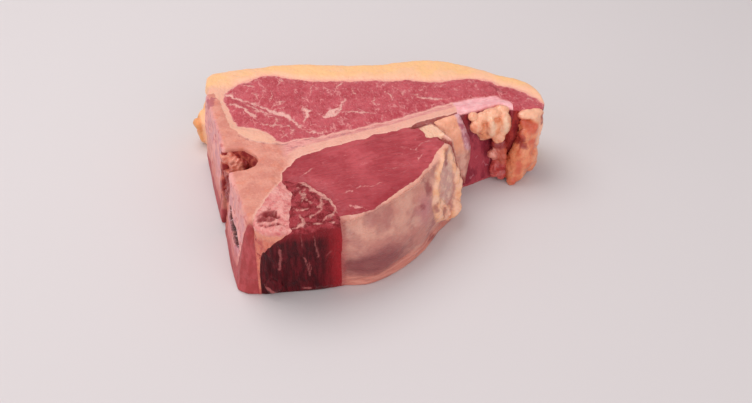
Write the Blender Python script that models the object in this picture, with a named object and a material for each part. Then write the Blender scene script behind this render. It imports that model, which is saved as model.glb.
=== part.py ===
"""Thick T-bone beef steak lying on one cut face, built as closed solids side by side.

X runs from the sawn chine bone to the tail, Y from the fillet side to the back fat, Z up.
Outlines are given in millimetres; every solid is scaled to metres as it is made.
"""
import math

import bmesh
import bpy
from mathutils import Vector

MM = 0.001
THICK = 54.0            # between the two cut faces
EDGE_INSET = 0.9        # softening of the two cut edges, across
EDGE_DROP = 1.2         # and down
SEAM = 0.15             # each side of a seam stands back by this
CLEAR = 0.3             # loose lumps stay this far off the body
RUN_OUT = 5.0           # seam cutters pass the cut faces by this
LEANING_STEPS = 8       # levels of a cutter whose outline shifts with height
CURVE_STEPS = 2         # points worked out between two stations

# Stations of the outline: top x, top y, foot x, foot y, belly outwards half way up.
SAWN_FACE = (
    (-101, 72, -109, 77, 4),
    (-104, 64, -109, 68, 3),
    (-103, 46, -107, 50, 1),
    (-103, 16, -109, 18, 0),
    (-103, -12, -110, -14, 0),
    (-103, -38, -110, -36, 0),
    (-102, -60, -112, -60, 0),
    (-102, -80, -112, -83, 0),
)
BONE_FRONT = (
    (-102, -80, -112, -83, 0),
    (-100, -85, -107, -88, 0),
    (-97, -92, -101, -90, -1),
    (-93, -97, -95, -92, -1),
)
MUSCLE_FRONT = (
    (-93, -97, -95, -92, -1),
    (-86, -99, -86, -93, 0),
    (-77, -99, -76, -95, 1),
    (-66, -101, -64, -97, 1),
    (-50, -102, -48, -98, 1),
)
FILLET_SIDE = (
    (-50, -102, -48, -98, 1),
    (-38, -99, -36, -101, 3),
    (-24, -94, -24, -99, 4),
    (-8, -85, -9, -93, 4),
    (6, -77, 8, -82, 4),
    (19, -63, 22, -68, 4),
    (29, -54, 33, -60, 4),
    (37, -46, 42, -49, 3),
    (37, -39, 45, -41, 1),
    (34, -30, 46, -36, 0),
    (32, -22, 49, -32, 0),
)
INNER_WALL = (
    (32, -22, 49, -32, 0),
    (41, -19, 54, -30, 0),
    (52, -17.5, 60, -29, 0),
    (68, -17, 71, -26, 0),
    (81, -16, 82, -25, 0),
    (86, -22, 88, -27, 0),
    (94, -25, 95, -27, 0),
    (106, -28, 102, -27, 0),
)
BACK_FAT = (
    (106, -28, 102, -27, 0),
    (110, -24, 107, -22, 0),
    (112, -13, 112, -11, 1),
    (110, -1, 113, 1, 2),
    (105, 8, 108, 11, 2),
    (93, 17, 95, 21, 2),
    (86, 25, 88, 29, 2),
    (73, 37, 75, 41, 2),
    (59, 46, 61, 50, 2),
    (43, 51, 44, 56, 2),
    (20, 53, 21, 58, 2),
    (2, 57, 3, 62, 2),
    (-13, 62, -12, 67, 2),
    (-32, 69, -31, 74, 2),
    (-48, 73, -47, 78, 2),
    (-66, 74.5, -66, 80, 2),
    (-84, 76, -86, 83, 3),
    (-95, 75, -101, 83, 5),
    (-101, 72, -109, 77, 4),
)

# Seams on the cut face.
FAT_SEAM = (
    (109, -24), (107, -17), (102, -7), (96, 1), (89, 5), (86, 11), (80, 15), (71, 19),
    (58, 20), (45, 23), (35, 28), (20, 32), (4, 37), (-18, 43), (-38, 50), (-47, 56),
    (-54, 61), (-62, 62), (-70, 60), (-78, 58), (-85, 54), (-91, 48),
)
CHINE_MUSCLE_LEFT = (
    (-91, 48), (-93, 40), (-92, 32), (-91, 20), (-89, 11), (-84, 7), (-78, 3), (-74, -1),
    (-71, -6), (-70, -12), (-65, -16),
)
MUSCLE_SEAM = (
    (-91, 48), (-85, 41), (-80, 37), (-74, 31), (-68, 24), (-64, 18), (-59, 13), (-55, 7),
    (-53, 1), (-51, -5), (-48, -9), (-40, -16),
)
BONE_BESIDE_FAT = (
    (-98, 50), (-95, 40), (-95, 25), (-94, 10), (-91, 1), (-83, -9), (-75, -14), (-65, -16),
)
BLADE_BACK = (
    (-40, -16), (-22, -14.5), (0, -12.5), (17, -10.5), (29, -8.5), (42, -6), (53, -5),
)
BLADE_FRONT = (
    (52, -17), (40, -17.3), (31, -18.3), (25, -19.5), (16, -22), (2, -24), (-9, -25),
    (-26, -27), (-39, -29), (-51, -31), (-62, -35), (-69, -41), (-73, -47), (-75, -53),
)
BONE_BESIDE_CHINE_FAT = (
    (-75, -53), (-80, -58), (-86, -66), (-91, -72), (-96, -79), (-98, -93),
)
CANAL = (
    (-98, -12), (-90, -14), (-87, -19), (-84, -25), (-84, -30), (-87, -35), (-92, -37),
    (-97, -37),
)
CANAL_FOOT = (
    (-102, -19), (-95, -20), (-91, -22), (-89, -25), (-89, -28), (-91, -30), (-95, -31),
    (-102, -31),
)
SIDE_MUSCLE_LEFT = ((-75, -53), (-72, -66), (-73, -76), (-77, -86), (-79, -95))
SIDE_MUSCLE_LEFT_FOOT = ((-75, -53), (-78, -64), (-84, -74), (-92, -83), (-95, -91))
SIDE_MUSCLE_BEND = 2.6  # its left seam swings out near the cut face, then drops
SIDE_MUSCLE_RIGHT = ((-49, -95), (-49, -86), (-51, -77), (-56, -69), (-62, -58), (-75, -53))
FILLET_EDGE = (
    (-49, -95), (-38, -96), (-30, -94.5), (-24, -91), (-9, -82), (5, -74), (13, -66),
    (19, -59), (26, -51), (31, -47), (33.5, -43), (31.5, -38.5),
)
NUGGET_EDGE = ((31.5, -38.5), (22, -38), (23, -30.5), (16, -22))
CARTILAGE = (
    (53, -5), (62, -4), (72, -5), (82, -7), (86, -11), (88, -15), (88, -24), (52, -24),
    (52, -17),
)
CARTILAGE_DEPTH = 15.0

# Loose fat beside the fillet: rings of x, y at a height, from the foot up.
WEDGE_RINGS = (
    (8, ((47, -33), (51, -35), (55, -33), (58, -30), (58, -25), (50, -26))),
    (22, ((42, -33), (47, -36), (54, -33), (59, -28), (59, -20), (48, -22))),
    (38, ((37, -30), (43, -34), (51, -32), (57, -26), (56, -15), (44, -20))),
    (47, ((34, -26), (40, -31), (48, -29), (54, -24), (53, -14), (43, -18))),
    (THICK - 0.5, ((32, -23), (37, -26), (45, -24), (51, -21), (51, -14), (42, -17))),
)
TAIL_RINGS = (
    (0, ((84, -24), (83, -36), (88, -38), (95, -35), (100, -30), (101, -22))),
    (12, ((83, -22), (82, -35), (88, -40), (97, -37), (103, -30), (103, -22))),
    (24, ((87, -22), (85, -33), (91, -39), (99, -37), (105, -31), (105, -22))),
    (34, ((91, -22), (90, -31), (94, -36), (101, -36), (106, -32), (106, -22))),
    (44, ((91, -20), (90, -28), (94, -34), (100, -37), (107, -32), (107, -22))),
    (THICK - 1, ((93, -20), (91, -26), (95, -31), (100, -35), (105, -31), (106, -22))),
)
RING_STEPS = 2
SUET_CENTRE = (73.5, -20.0, 42.0)
SUET_RADII = (14.5, 13.0, 14.0)
SUET_LOBES = 0.10       # swell of its lobes, as a share of the radius
STEM_CENTRE = (80.0, -26.0, 14.0)
STEM_RADII = (7.5, 6.5, 15.0)


def catmull(a, b, c, d, t):
    """One value between b and c on the curve that passes through all four."""
    return 0.5 * (2 * b + (c - a) * t + (2 * a - 5 * b + 4 * c - d) * t * t
                  + (3 * b - a - 3 * c + d) * t * t * t)


def smooth_run(rows, steps):
    """Curve through a row of stations, without the last one."""
    out = []
    last = len(rows) - 1
    for i in range(last):
        a, b, c, d = rows[max(i - 1, 0)], rows[i], rows[i + 1], rows[min(i + 2, last)]
        for k in range(steps):
            t = k / steps
            out.append(tuple(catmull(p, q, r, s, t) for p, q, r, s in zip(a, b, c, d)))
    return out


def ring_curve(points, steps):
    """Closed curve through a ring of points."""
    count = len(points)
    out = []
    for i in range(count):
        near = [points[(i + k) % count] for k in (-1, 0, 1, 2)]
        for k in range(steps):
            out.append(tuple(catmull(*values, k / steps) for values in zip(*near)))
    return out


def signed_area(points):
    return 0.5 * sum(a[0] * b[1] - b[0] * a[1]
                     for a, b in zip(points, points[1:] + points[:1]))


def offset(points, out):
    """Closed outline moved outwards by a distance (inwards if negative)."""
    side = 1.0 if signed_area(points) > 0 else -1.0
    moved = []
    for before, here, after in zip(points[-1:] + points[:-1], points, points[1:] + points[:1]):
        into = (Vector(here) - Vector(before)).normalized()
        away = (Vector(after) - Vector(here)).normalized()
        normal_in = Vector((into.y, -into.x)) * side
        normal_out = Vector((away.y, -away.x)) * side
        bisector = (normal_in + normal_out).normalized()
        reach = out / max(bisector.dot(normal_in), 0.5)
        moved.append((here[0] + bisector.x * reach, here[1] + bisector.y * reach))
    return moved


def loft(name, rings, collection):
    """Closed solid through rings of the same count, each a height and an outline."""
    bm = bmesh.new()
    rows = []
    for height, outline in rings:
        row = [bm.verts.new((x * MM, y * MM, height * MM)) for x, y in outline]
        rows.append(row)
    count = len(rows[0])
    for low, high in zip(rows, rows[1:]):
        for i in range(count):
            j = (i + 1) % count
            bm.faces.new((low[i], low[j], high[j], high[i]))
    bm.faces.new(rows[0][::-1])
    bm.faces.new(rows[-1])
    return finish_mesh(name, bm, collection)


def finish_mesh(name, bm, collection):
    """Triangulated, outward-facing mesh object in a collection."""
    bmesh.ops.triangulate(bm, faces=bm.faces[:])
    bmesh.ops.recalc_face_normals(bm, faces=bm.faces[:])
    mesh = bpy.data.meshes.new(name)
    bm.to_mesh(mesh)
    bm.free()
    made = bpy.data.objects.new(name, mesh)
    collection.objects.link(made)
    return made


def body_outline(height, out):
    """Outline of the whole steak at a height, moved outwards by a distance."""
    rows = []
    for side in (SAWN_FACE, BONE_FRONT, MUSCLE_FRONT, FILLET_SIDE, INNER_WALL, BACK_FAT):
        rows += smooth_run(side, CURVE_STEPS)
    share = height / THICK
    belly = math.sin(math.pi * min(max(share, 0.0), 1.0))
    plain = [(r[2] + (r[0] - r[2]) * share, r[3] + (r[1] - r[3]) * share) for r in rows]
    swollen = offset(plain, 1.0)
    points = []
    for row, here, beyond in zip(rows, plain, swollen):
        push = row[4] * belly
        points.append((here[0] + (beyond[0] - here[0]) * push,
                       here[1] + (beyond[1] - here[1]) * push))
    return offset(points, out)


def make_body(name, collection):
    """The whole steak before its seams are cut."""
    heights = (EDGE_DROP, THICK * 0.27, THICK * 0.5, THICK * 0.73, THICK - EDGE_DROP)
    rings = [(0.0, body_outline(0.0, -EDGE_INSET))]
    rings += [(h, body_outline(h, 0.0)) for h in heights]
    rings.append((THICK, body_outline(THICK, -EDGE_INSET)))
    return loft(name, rings, collection)


def make_grown_body(name, collection):
    """The same shape a little larger, to keep the loose lumps off it."""
    heights = (-1.0, EDGE_DROP, THICK * 0.27, THICK * 0.5, THICK * 0.73, THICK + 1.0)
    rings = [(h, body_outline(h, CLEAR)) for h in heights]
    return loft(name, rings, collection)


def region(name, top, foot, collection, gap=-SEAM, bend=1.0):
    """Cutter the shape of one piece's outline, standing back from its seams."""
    steps = 1 if top == foot else LEANING_STEPS
    rings = []
    for k in range(steps + 1):
        height = -RUN_OUT + (THICK + 2 * RUN_OUT) * k / steps
        share = min(max(height / THICK, 0.0), 1.0) ** bend
        ring = [(b[0] + (a[0] - b[0]) * share, b[1] + (a[1] - b[1]) * share)
                for a, b in zip(top, foot)]
        rings.append((height, offset(ring, gap)))
    return loft(name, rings, collection)


def boolean(target, cutter, operation):
    """Apply one exact Boolean to a solid."""
    modifier = target.modifiers.new(operation.lower(), "BOOLEAN")
    modifier.operation = operation
    modifier.solver = "EXACT"
    modifier.object = cutter
    bpy.context.view_layer.update()
    graph = bpy.context.evaluated_depsgraph_get()
    result = bpy.data.meshes.new_from_object(target.evaluated_get(graph))
    target.modifiers.clear()
    old = target.data
    target.data = result
    bpy.data.meshes.remove(old)


def material(name, colour, roughness):
    made = bpy.data.materials.new(name)
    made.use_nodes = True
    surface = made.node_tree.nodes["Principled BSDF"]
    surface.inputs["Base Color"].default_value = (*colour, 1.0)
    surface.inputs["Roughness"].default_value = roughness
    return made


def tidy(piece, colour, roughness):
    """Merge the slivers a Boolean leaves, triangulate, and give the piece its material."""
    bm = bmesh.new()
    bm.from_mesh(piece.data)
    bmesh.ops.remove_doubles(bm, verts=bm.verts[:], dist=0.00005)
    bmesh.ops.dissolve_degenerate(bm, edges=bm.edges[:], dist=0.00002)
    bmesh.ops.triangulate(bm, faces=bm.faces[:])
    bm.to_mesh(piece.data)
    bm.free()
    piece.data.materials.clear()
    piece.data.materials.append(material(piece.name, colour, roughness))


def cut_piece(name, body, cutter, colour, roughness, shown):
    """The share of the body inside one region."""
    piece = bpy.data.objects.new(name, body.data.copy())
    shown.objects.link(piece)
    boolean(piece, cutter, "INTERSECT")
    tidy(piece, colour, roughness)
    return piece


def make_fat_cap(body, shown, cutters):
    outline = (FAT_SEAM[:-1] + CHINE_MUSCLE_LEFT + BONE_BESIDE_FAT[::-1][1:]
               + ((-125, 50), (-125, 110), (0, 110), (135, 60), (135, -24)))
    cutter = region("fat_cap_outline", outline, outline, cutters)
    return cut_piece("fat_cap", body, cutter, (0.87, 0.60, 0.33), 0.45, shown)


def cartilage_outline(grow):
    return offset(list(CARTILAGE), grow)


def make_strip_loin(body, shown, cutters):
    outline = (FAT_SEAM + MUSCLE_SEAM[1:] + BLADE_BACK[1:]
               + ((52, -17), (49, -30), (50, -60), (84, -60), (84, -17), (87, -15), (91, -21),
                  (93, -27), (95, -60), (135, -60), (135, -24)))
    cutter = region("strip_loin_outline", outline, outline, cutters)
    piece = cut_piece("strip_loin", body, cutter, (0.55, 0.12, 0.13), 0.4, shown)
    pocket_rings = [(THICK - CARTILAGE_DEPTH - CLEAR, cartilage_outline(SEAM)),
                    (THICK + RUN_OUT, cartilage_outline(SEAM))]
    pocket = loft("cartilage_pocket", pocket_rings, cutters)
    boolean(piece, pocket, "DIFFERENCE")
    tidy(piece, (0.55, 0.12, 0.13), 0.4)
    return piece


def make_chine_muscle(body, shown, cutters):
    outline = CHINE_MUSCLE_LEFT + ((-52, -16),) + MUSCLE_SEAM[::-1][:-1]
    cutter = region("chine_muscle_outline", outline, outline, cutters)
    return cut_piece("chine_muscle", body, cutter, (0.50, 0.10, 0.11), 0.4, shown)


def make_t_bone(body, shown, cutters):
    outline = (BONE_BESIDE_FAT + ((-52, -16),) + BLADE_BACK + BLADE_FRONT
               + BONE_BESIDE_CHINE_FAT[1:] + ((-98, -125), (-140, -125), (-140, 50)))
    cutter = region("t_bone_outline", outline, outline, cutters)
    piece = cut_piece("t_bone", body, cutter, (0.80, 0.58, 0.45), 0.5, shown)
    canal_top = CANAL + ((-125, -38), (-125, -11))
    canal_foot = CANAL_FOOT + ((-135, -31), (-135, -19))
    canal = region("canal_cut", canal_top, canal_foot, cutters, gap=0.0)
    boolean(piece, canal, "DIFFERENCE")
    tidy(piece, (0.80, 0.58, 0.45), 0.5)
    return piece


def make_chine_fat(body, shown, cutters):
    outer = BONE_BESIDE_CHINE_FAT + ((-98, -125),)
    top = outer + ((-79, -125),) + SIDE_MUSCLE_LEFT[::-1][:-1]
    foot = outer + ((-95, -125),) + SIDE_MUSCLE_LEFT_FOOT[::-1][:-1]
    cutter = region("chine_fat_outline", top, foot, cutters, bend=SIDE_MUSCLE_BEND)
    return cut_piece("chine_fat", body, cutter, (0.85, 0.50, 0.42), 0.45, shown)


def make_side_muscle(body, shown, cutters):
    top = SIDE_MUSCLE_LEFT + ((-79, -125), (-49, -125)) + SIDE_MUSCLE_RIGHT[:-1]
    foot = SIDE_MUSCLE_LEFT_FOOT + ((-95, -125), (-49, -125)) + SIDE_MUSCLE_RIGHT[:-1]
    cutter = region("side_muscle_outline", top, foot, cutters, bend=SIDE_MUSCLE_BEND)
    return cut_piece("side_muscle", body, cutter, (0.34, 0.05, 0.06), 0.35, shown)


def make_tenderloin(body, shown, cutters):
    blade = BLADE_FRONT[4:]
    outline = SIDE_MUSCLE_RIGHT[::-1] + FILLET_EDGE[1:] + NUGGET_EDGE[1:] + blade[1:-1]
    cutter = region("tenderloin_outline", outline, outline, cutters)
    return cut_piece("tenderloin", body, cutter, (0.45, 0.07, 0.09), 0.35, shown)


def make_fillet_coat(body, shown, cutters):
    outline = (FILLET_EDGE + ((34, -38), (40, -32), (49, -30), (50, -60), (60, -125),
                              (-49, -125)))
    cutter = region("fillet_coat_outline", outline, outline, cutters)
    return cut_piece("fillet_coat", body, cutter, (0.78, 0.52, 0.42), 0.3, shown)


def make_fat_nugget(body, shown, cutters):
    outline = (NUGGET_EDGE + BLADE_FRONT[:4][::-1]
               + ((49, -30), (40, -32), (34, -38)))
    cutter = region("fat_nugget_outline", outline, outline, cutters)
    return cut_piece("fat_nugget", body, cutter, (0.86, 0.58, 0.38), 0.45, shown)


def make_flank_strip(body, shown, cutters):
    outline = ((84, -60), (95, -60), (93, -27), (91, -21), (87, -15), (84, -17))
    cutter = region("flank_strip_outline", outline, outline, cutters)
    piece = cut_piece("flank_strip", body, cutter, (0.52, 0.11, 0.11), 0.4, shown)
    pocket_rings = [(THICK - CARTILAGE_DEPTH - CLEAR, cartilage_outline(SEAM)),
                    (THICK + RUN_OUT, cartilage_outline(SEAM))]
    pocket = loft("cartilage_notch", pocket_rings, cutters)
    boolean(piece, pocket, "DIFFERENCE")
    tidy(piece, (0.52, 0.11, 0.11), 0.4)
    return piece


def make_cartilage_tip(body, shown, cutters):
    rings = [(THICK - CARTILAGE_DEPTH, cartilage_outline(-SEAM)),
             (THICK + RUN_OUT, cartilage_outline(-SEAM))]
    cutter = loft("cartilage_outline", rings, cutters)
    return cut_piece("cartilage_tip", body, cutter, (0.86, 0.50, 0.55), 0.35, shown)


def ring_lump(name, rings, collection):
    """Loose lump lofted through rings of the same count."""
    return loft(name, [(h, ring_curve(list(ring), RING_STEPS)) for h, ring in rings], collection)


def ball_lump(name, centre, radii, lobes, collection):
    """Loose lump grown from a ball, swollen into lobes and flat where it meets the rest."""
    bm = bmesh.new()
    bmesh.ops.create_icosphere(bm, subdivisions=3, radius=1.0)
    for vert in bm.verts:
        x, y, z = vert.co
        swell = 1.0 + lobes * math.sin(4.0 * x + 1.0) * math.cos(3.5 * z - 0.5)
        vert.co = Vector((centre[0] + x * radii[0] * swell,
                          centre[1] + y * radii[1] * swell,
                          max(centre[2] + z * radii[2] * swell, 0.0))) * MM
    return finish_mesh(name, bm, collection)


def make_fat_wedge(grown, shown):
    piece = ring_lump("fat_wedge", WEDGE_RINGS, shown)
    boolean(piece, grown, "DIFFERENCE")
    tidy(piece, (0.88, 0.60, 0.40), 0.45)
    return piece


def make_tail_fat(grown, shown):
    piece = ring_lump("tail_fat", TAIL_RINGS, shown)
    boolean(piece, grown, "DIFFERENCE")
    tidy(piece, (0.86, 0.56, 0.36), 0.45)
    return piece


def make_suet(grown, shown, cutters):
    """The round lump of suet, and the darker stem that hangs under it."""
    lump = ball_lump("suet_lump", SUET_CENTRE, SUET_RADII, SUET_LOBES, shown)
    boolean(lump, grown, "DIFFERENCE")
    tidy(lump, (0.88, 0.60, 0.38), 0.45)
    stem = ball_lump("suet_stem", STEM_CENTRE, STEM_RADII, 0.0, shown)
    boolean(stem, grown, "DIFFERENCE")
    around = tuple(r + CLEAR for r in SUET_RADII)
    keep_off = ball_lump("suet_clearance", SUET_CENTRE, around, SUET_LOBES, cutters)
    boolean(stem, keep_off, "DIFFERENCE")
    tail = [(h + (CLEAR if h else -RUN_OUT), offset(ring_curve(list(r), RING_STEPS), CLEAR))
            for h, r in TAIL_RINGS]
    boolean(stem, loft("tail_clearance", tail, cutters), "DIFFERENCE")
    tidy(stem, (0.72, 0.32, 0.24), 0.45)
    return lump, stem


def centre_on_origin(pieces):
    """Put the origin under the middle of everything, on the level it lies on."""
    corners = [vert.co for piece in pieces for vert in piece.data.vertices]
    middle = Vector((0.0, 0.0, 0.0))
    for axis in (0, 1):
        values = [corner[axis] for corner in corners]
        middle[axis] = 0.5 * (min(values) + max(values))
    for piece in pieces:
        for vert in piece.data.vertices:
            vert.co = vert.co - middle


def main():
    for old in list(bpy.data.objects):
        bpy.data.objects.remove(old)
    scene = bpy.context.scene
    shown = bpy.data.collections.new("t_bone_steak")
    cutters = bpy.data.collections.new("cutters")
    scene.collection.children.link(shown)
    scene.collection.children.link(cutters)
    body = make_body("whole_steak", cutters)
    grown = make_grown_body("steak_clearance", cutters)
    for make in (make_t_bone, make_fat_cap, make_strip_loin, make_chine_muscle,
                 make_chine_fat, make_side_muscle, make_tenderloin, make_fillet_coat,
                 make_fat_nugget, make_flank_strip, make_cartilage_tip):
        make(body, shown, cutters)
    make_fat_wedge(grown, shown)
    make_tail_fat(grown, shown)
    make_suet(grown, shown, cutters)
    centre_on_origin(shown.objects)
    for cutter in cutters.objects:
        cutter.hide_render = True
        cutter.display_type = "WIRE"


main()
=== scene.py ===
import math

import bmesh
import bpy
import numpy as np
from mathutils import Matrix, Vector, noise


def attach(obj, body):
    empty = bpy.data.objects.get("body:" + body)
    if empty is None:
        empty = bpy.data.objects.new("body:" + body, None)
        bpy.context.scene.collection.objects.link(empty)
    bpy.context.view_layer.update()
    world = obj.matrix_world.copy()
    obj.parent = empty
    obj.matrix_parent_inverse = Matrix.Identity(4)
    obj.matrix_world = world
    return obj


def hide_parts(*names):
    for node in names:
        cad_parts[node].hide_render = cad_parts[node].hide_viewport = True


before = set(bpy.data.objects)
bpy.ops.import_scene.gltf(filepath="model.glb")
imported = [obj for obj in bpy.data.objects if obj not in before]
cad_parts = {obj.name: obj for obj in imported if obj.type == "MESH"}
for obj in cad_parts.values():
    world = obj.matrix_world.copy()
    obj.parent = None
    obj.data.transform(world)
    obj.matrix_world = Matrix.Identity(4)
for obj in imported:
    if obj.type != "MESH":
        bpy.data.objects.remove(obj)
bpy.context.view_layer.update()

# ---------------------------------------------------------------------------------------------
# The steak as it was sawn: one slab of bone, lean and fat, grown together, lying on a cut face.
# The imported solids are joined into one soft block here, so that the cut face runs on unbroken
# from one tissue to the next; the pieces are parted again along their seams further down.
# ---------------------------------------------------------------------------------------------
MM = 0.001
THICK = 54.0                        # cut face to cut face
MIDDLE = Vector((0.975, -9.213))    # the frame's origin on the seam plan, in mm
SLAB_NODES = ("t_bone", "fat_cap", "strip_loin", "chine_muscle", "chine_fat", "side_muscle",
              "tenderloin", "fillet_coat", "fat_nugget", "flank_strip", "cartilage_tip")
SEAM_CLOSING = 0.2                  # each solid grows by this, so the seams close
SKIN = 0.85                         # size of the block's surface cells
WELD = 0.02                         # corners closer than this become one
SLIVER = 0.005                      # edges shorter than this are dissolved
TINY = 1e-9
NO_MARK = 9.0                       # distance stored where a mark is nowhere near

# Seams on the cut face, in mm on the plan.
FAT_SEAM = (
    (109, -24), (107, -17), (102, -7), (96, 1), (89, 5), (86, 11), (80, 15), (71, 19),
    (58, 20), (45, 23), (35, 28), (20, 32), (4, 37), (-18, 43), (-38, 50), (-47, 56),
    (-54, 61), (-62, 62), (-70, 60), (-78, 58), (-85, 54), (-91, 48),
)
CHINE_MUSCLE_LEFT = (
    (-91, 48), (-93, 40), (-92, 32), (-91, 20), (-89, 11), (-84, 7), (-78, 3), (-74, -1),
    (-71, -6), (-70, -12), (-65, -16),
)
MUSCLE_SEAM = (
    (-91, 48), (-85, 41), (-80, 37), (-74, 31), (-68, 24), (-64, 18), (-59, 13), (-55, 7),
    (-53, 1), (-51, -5), (-48, -9), (-40, -16),
)
BONE_BESIDE_FAT = (
    (-98, 50), (-95, 40), (-95, 25), (-94, 10), (-91, 1), (-83, -9), (-75, -14), (-65, -16),
)
BLADE_BACK = (
    (-40, -16), (-22, -14.5), (0, -12.5), (17, -10.5), (29, -8.5), (42, -6), (53, -5),
)
BLADE_FRONT = (
    (52, -17), (40, -17.3), (31, -18.3), (25, -19.5), (16, -22), (2, -24), (-9, -25),
    (-26, -27), (-39, -29), (-51, -31), (-62, -35), (-69, -41), (-73, -47), (-75, -53),
)
BONE_BESIDE_CHINE_FAT = (
    (-75, -53), (-80, -58), (-86, -66), (-91, -72), (-96, -79), (-99, -86), (-101, -95),
)
SIDE_MUSCLE_LEFT = ((-75, -53), (-72, -66), (-73, -76), (-77, -86), (-79, -95))
SIDE_MUSCLE_LEFT_FOOT = ((-75, -53), (-80, -64), (-87, -74), (-94, -83), (-99, -91))
SIDE_MUSCLE_BEND = 4.5
SIDE_MUSCLE_RIGHT = ((-51, -95), (-50, -86), (-51, -77), (-56, -69), (-62, -58), (-75, -53))
FILLET_EDGE = (
    (-51, -95), (-38, -96), (-30, -94.5), (-24, -91), (-9, -82), (5, -74), (13, -66),
    (19, -59), (26, -51), (31, -47), (33.5, -43), (31.5, -38.5),
)
NUGGET_EDGE = ((31.5, -38.5), (22, -38), (23, -30.5), (16, -22))
CARTILAGE = (
    (53, -5), (62, -4), (72, -5), (82, -7), (86, -11), (88, -15), (88, -24), (52, -24),
    (52, -17),
)
CARTILAGE_FLOOR = 39.0


def bake_modifiers(thing):
    """Make what the modifiers give the object's own mesh."""
    graph = bpy.context.evaluated_depsgraph_get()
    result = bpy.data.meshes.new_from_object(thing.evaluated_get(graph))
    thing.modifiers.clear()
    old = thing.data
    thing.data = result
    bpy.data.meshes.remove(old)


def boolean(target, cutter, operation):
    """Apply one Boolean between two closed meshes; the cutter is used up."""
    modifier = target.modifiers.new("cut", "BOOLEAN")
    modifier.operation = operation
    modifier.solver = "MANIFOLD"
    modifier.object = cutter
    bake_modifiers(target)
    mesh = cutter.data
    bpy.data.objects.remove(cutter)
    bpy.data.meshes.remove(mesh)


def new_object(name, bm):
    """Object at the origin, made from a finished bmesh."""
    mesh = bpy.data.meshes.new(name)
    bm.to_mesh(mesh)
    bm.free()
    thing = bpy.data.objects.new(name, mesh)
    bpy.context.scene.collection.objects.link(thing)
    return thing


def grown_copy(node, name, grow):
    """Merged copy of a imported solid, grown outwards by a distance in mm."""
    bm = bmesh.new()
    bm.from_mesh(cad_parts[node].data)
    bmesh.ops.remove_doubles(bm, verts=bm.verts[:], dist=WELD * MM)
    bm.normal_update()
    moves = [vert.normal * (grow * MM * min(vert.calc_shell_factor(), 2.0)) for vert in bm.verts]
    for vert, move in zip(bm.verts, moves):
        vert.co += move
    bm.faces.ensure_lookup_table()
    return new_object(name, bm)


def reskin(thing, cell):
    """Give a closed mesh an even skin of small cells."""
    modifier = thing.modifiers.new("skin", "REMESH")
    modifier.mode = "VOXEL"
    modifier.voxel_size = cell * MM
    bake_modifiers(thing)


def plan_points(thing):
    """Vertices in mm on the plan, with height as Z."""
    points = np.empty(len(thing.data.vertices) * 3)
    thing.data.vertices.foreach_get("co", points)
    points = points.reshape(-1, 3) / MM
    points[:, :2] += MIDDLE
    return points


def normals_of(thing):
    normals = np.empty(len(thing.data.vertices) * 3)
    thing.data.vertices.foreach_get("normal", normals)
    return normals.reshape(-1, 3)


def put_points(thing, points):
    """Move the vertices to new plan places."""
    back = points.copy()
    back[:, :2] -= MIDDLE
    thing.data.vertices.foreach_set("co", (back * MM).ravel())
    thing.data.update()


def ripple(points, size, seed):
    """Smooth noise between about -1 and 1; size is in mm, one value or one for each axis."""
    return np.array([noise.noise(p) for p in (points / size + seed).tolist()])


def ease(values, low, high):
    """0 below low, 1 above high, smooth between; low may be the larger."""
    t = np.clip((values - low) / (high - low), 0.0, 1.0)
    return t * t * (3.0 - 2.0 * t)


def from_stretch(points, start, end):
    """Each point's distance from a straight stretch, how far along it, and on which side."""
    start = np.array(start, float)
    along = np.array(end, float) - start
    gap = points[:, :2] - start
    share = np.clip((gap @ along) / max(along @ along, TINY), 0.0, 1.0)
    side = np.sign(along[1] * gap[:, 0] - along[0] * gap[:, 1])
    gap = gap - share[:, None] * along
    return np.hypot(gap[:, 0], gap[:, 1]), share, side


def distance_to(points, line):
    """Distance on the plan from each point to a line through a few points."""
    return np.minimum.reduce([from_stretch(points, start, end)[0]
                              for start, end in zip(line, line[1:])])


def signed_distance(points, line):
    """As distance_to, but below 0 to the left of the way the line runs."""
    best = np.full(len(points), np.inf)
    signed = best.copy()
    for start, end in zip(line, line[1:]):
        away, share, side = from_stretch(points, start, end)
        signed = np.where(away < best, away * side, signed)
        best = np.minimum(best, away)
    return signed


def wander(points):
    """How far the seams stray from their drawn lines, in mm: flesh has no straight edges."""
    flat = points * (1.0, 1.0, 0.0)
    across = 1.5 * ripple(flat, 7.0, 51.0) + 0.8 * ripple(flat, 2.4, 57.0)
    along = 1.5 * ripple(flat, 7.0, 63.0) + 0.8 * ripple(flat, 2.4, 69.0)
    return np.stack([across, along], 1)


def settle(points):
    """The same points measured against the seams as drawn."""
    still = points.copy()
    still[:, :2] -= wander(points)
    return still


def hollow(points, centre, radii):
    """1 at a centre, falling to 0 at an ellipsoid round it."""
    reach = np.sqrt((((points - centre) / radii) ** 2).sum(1))
    return 1.0 - ease(reach, 0.0, 1.0)


def lobe(name, centre, radii, fineness=3):
    """Egg-shaped swelling, centred in mm on the plan."""
    bm = bmesh.new()
    bmesh.ops.create_icosphere(bm, subdivisions=fineness, radius=1.0)
    bmesh.ops.scale(bm, vec=Vector(radii) * MM, verts=bm.verts[:])
    place = Vector((centre[0] - MIDDLE.x, centre[1] - MIDDLE.y, centre[2])) * MM
    bmesh.ops.translate(bm, vec=place, verts=bm.verts[:])
    return new_object(name, bm)


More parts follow.
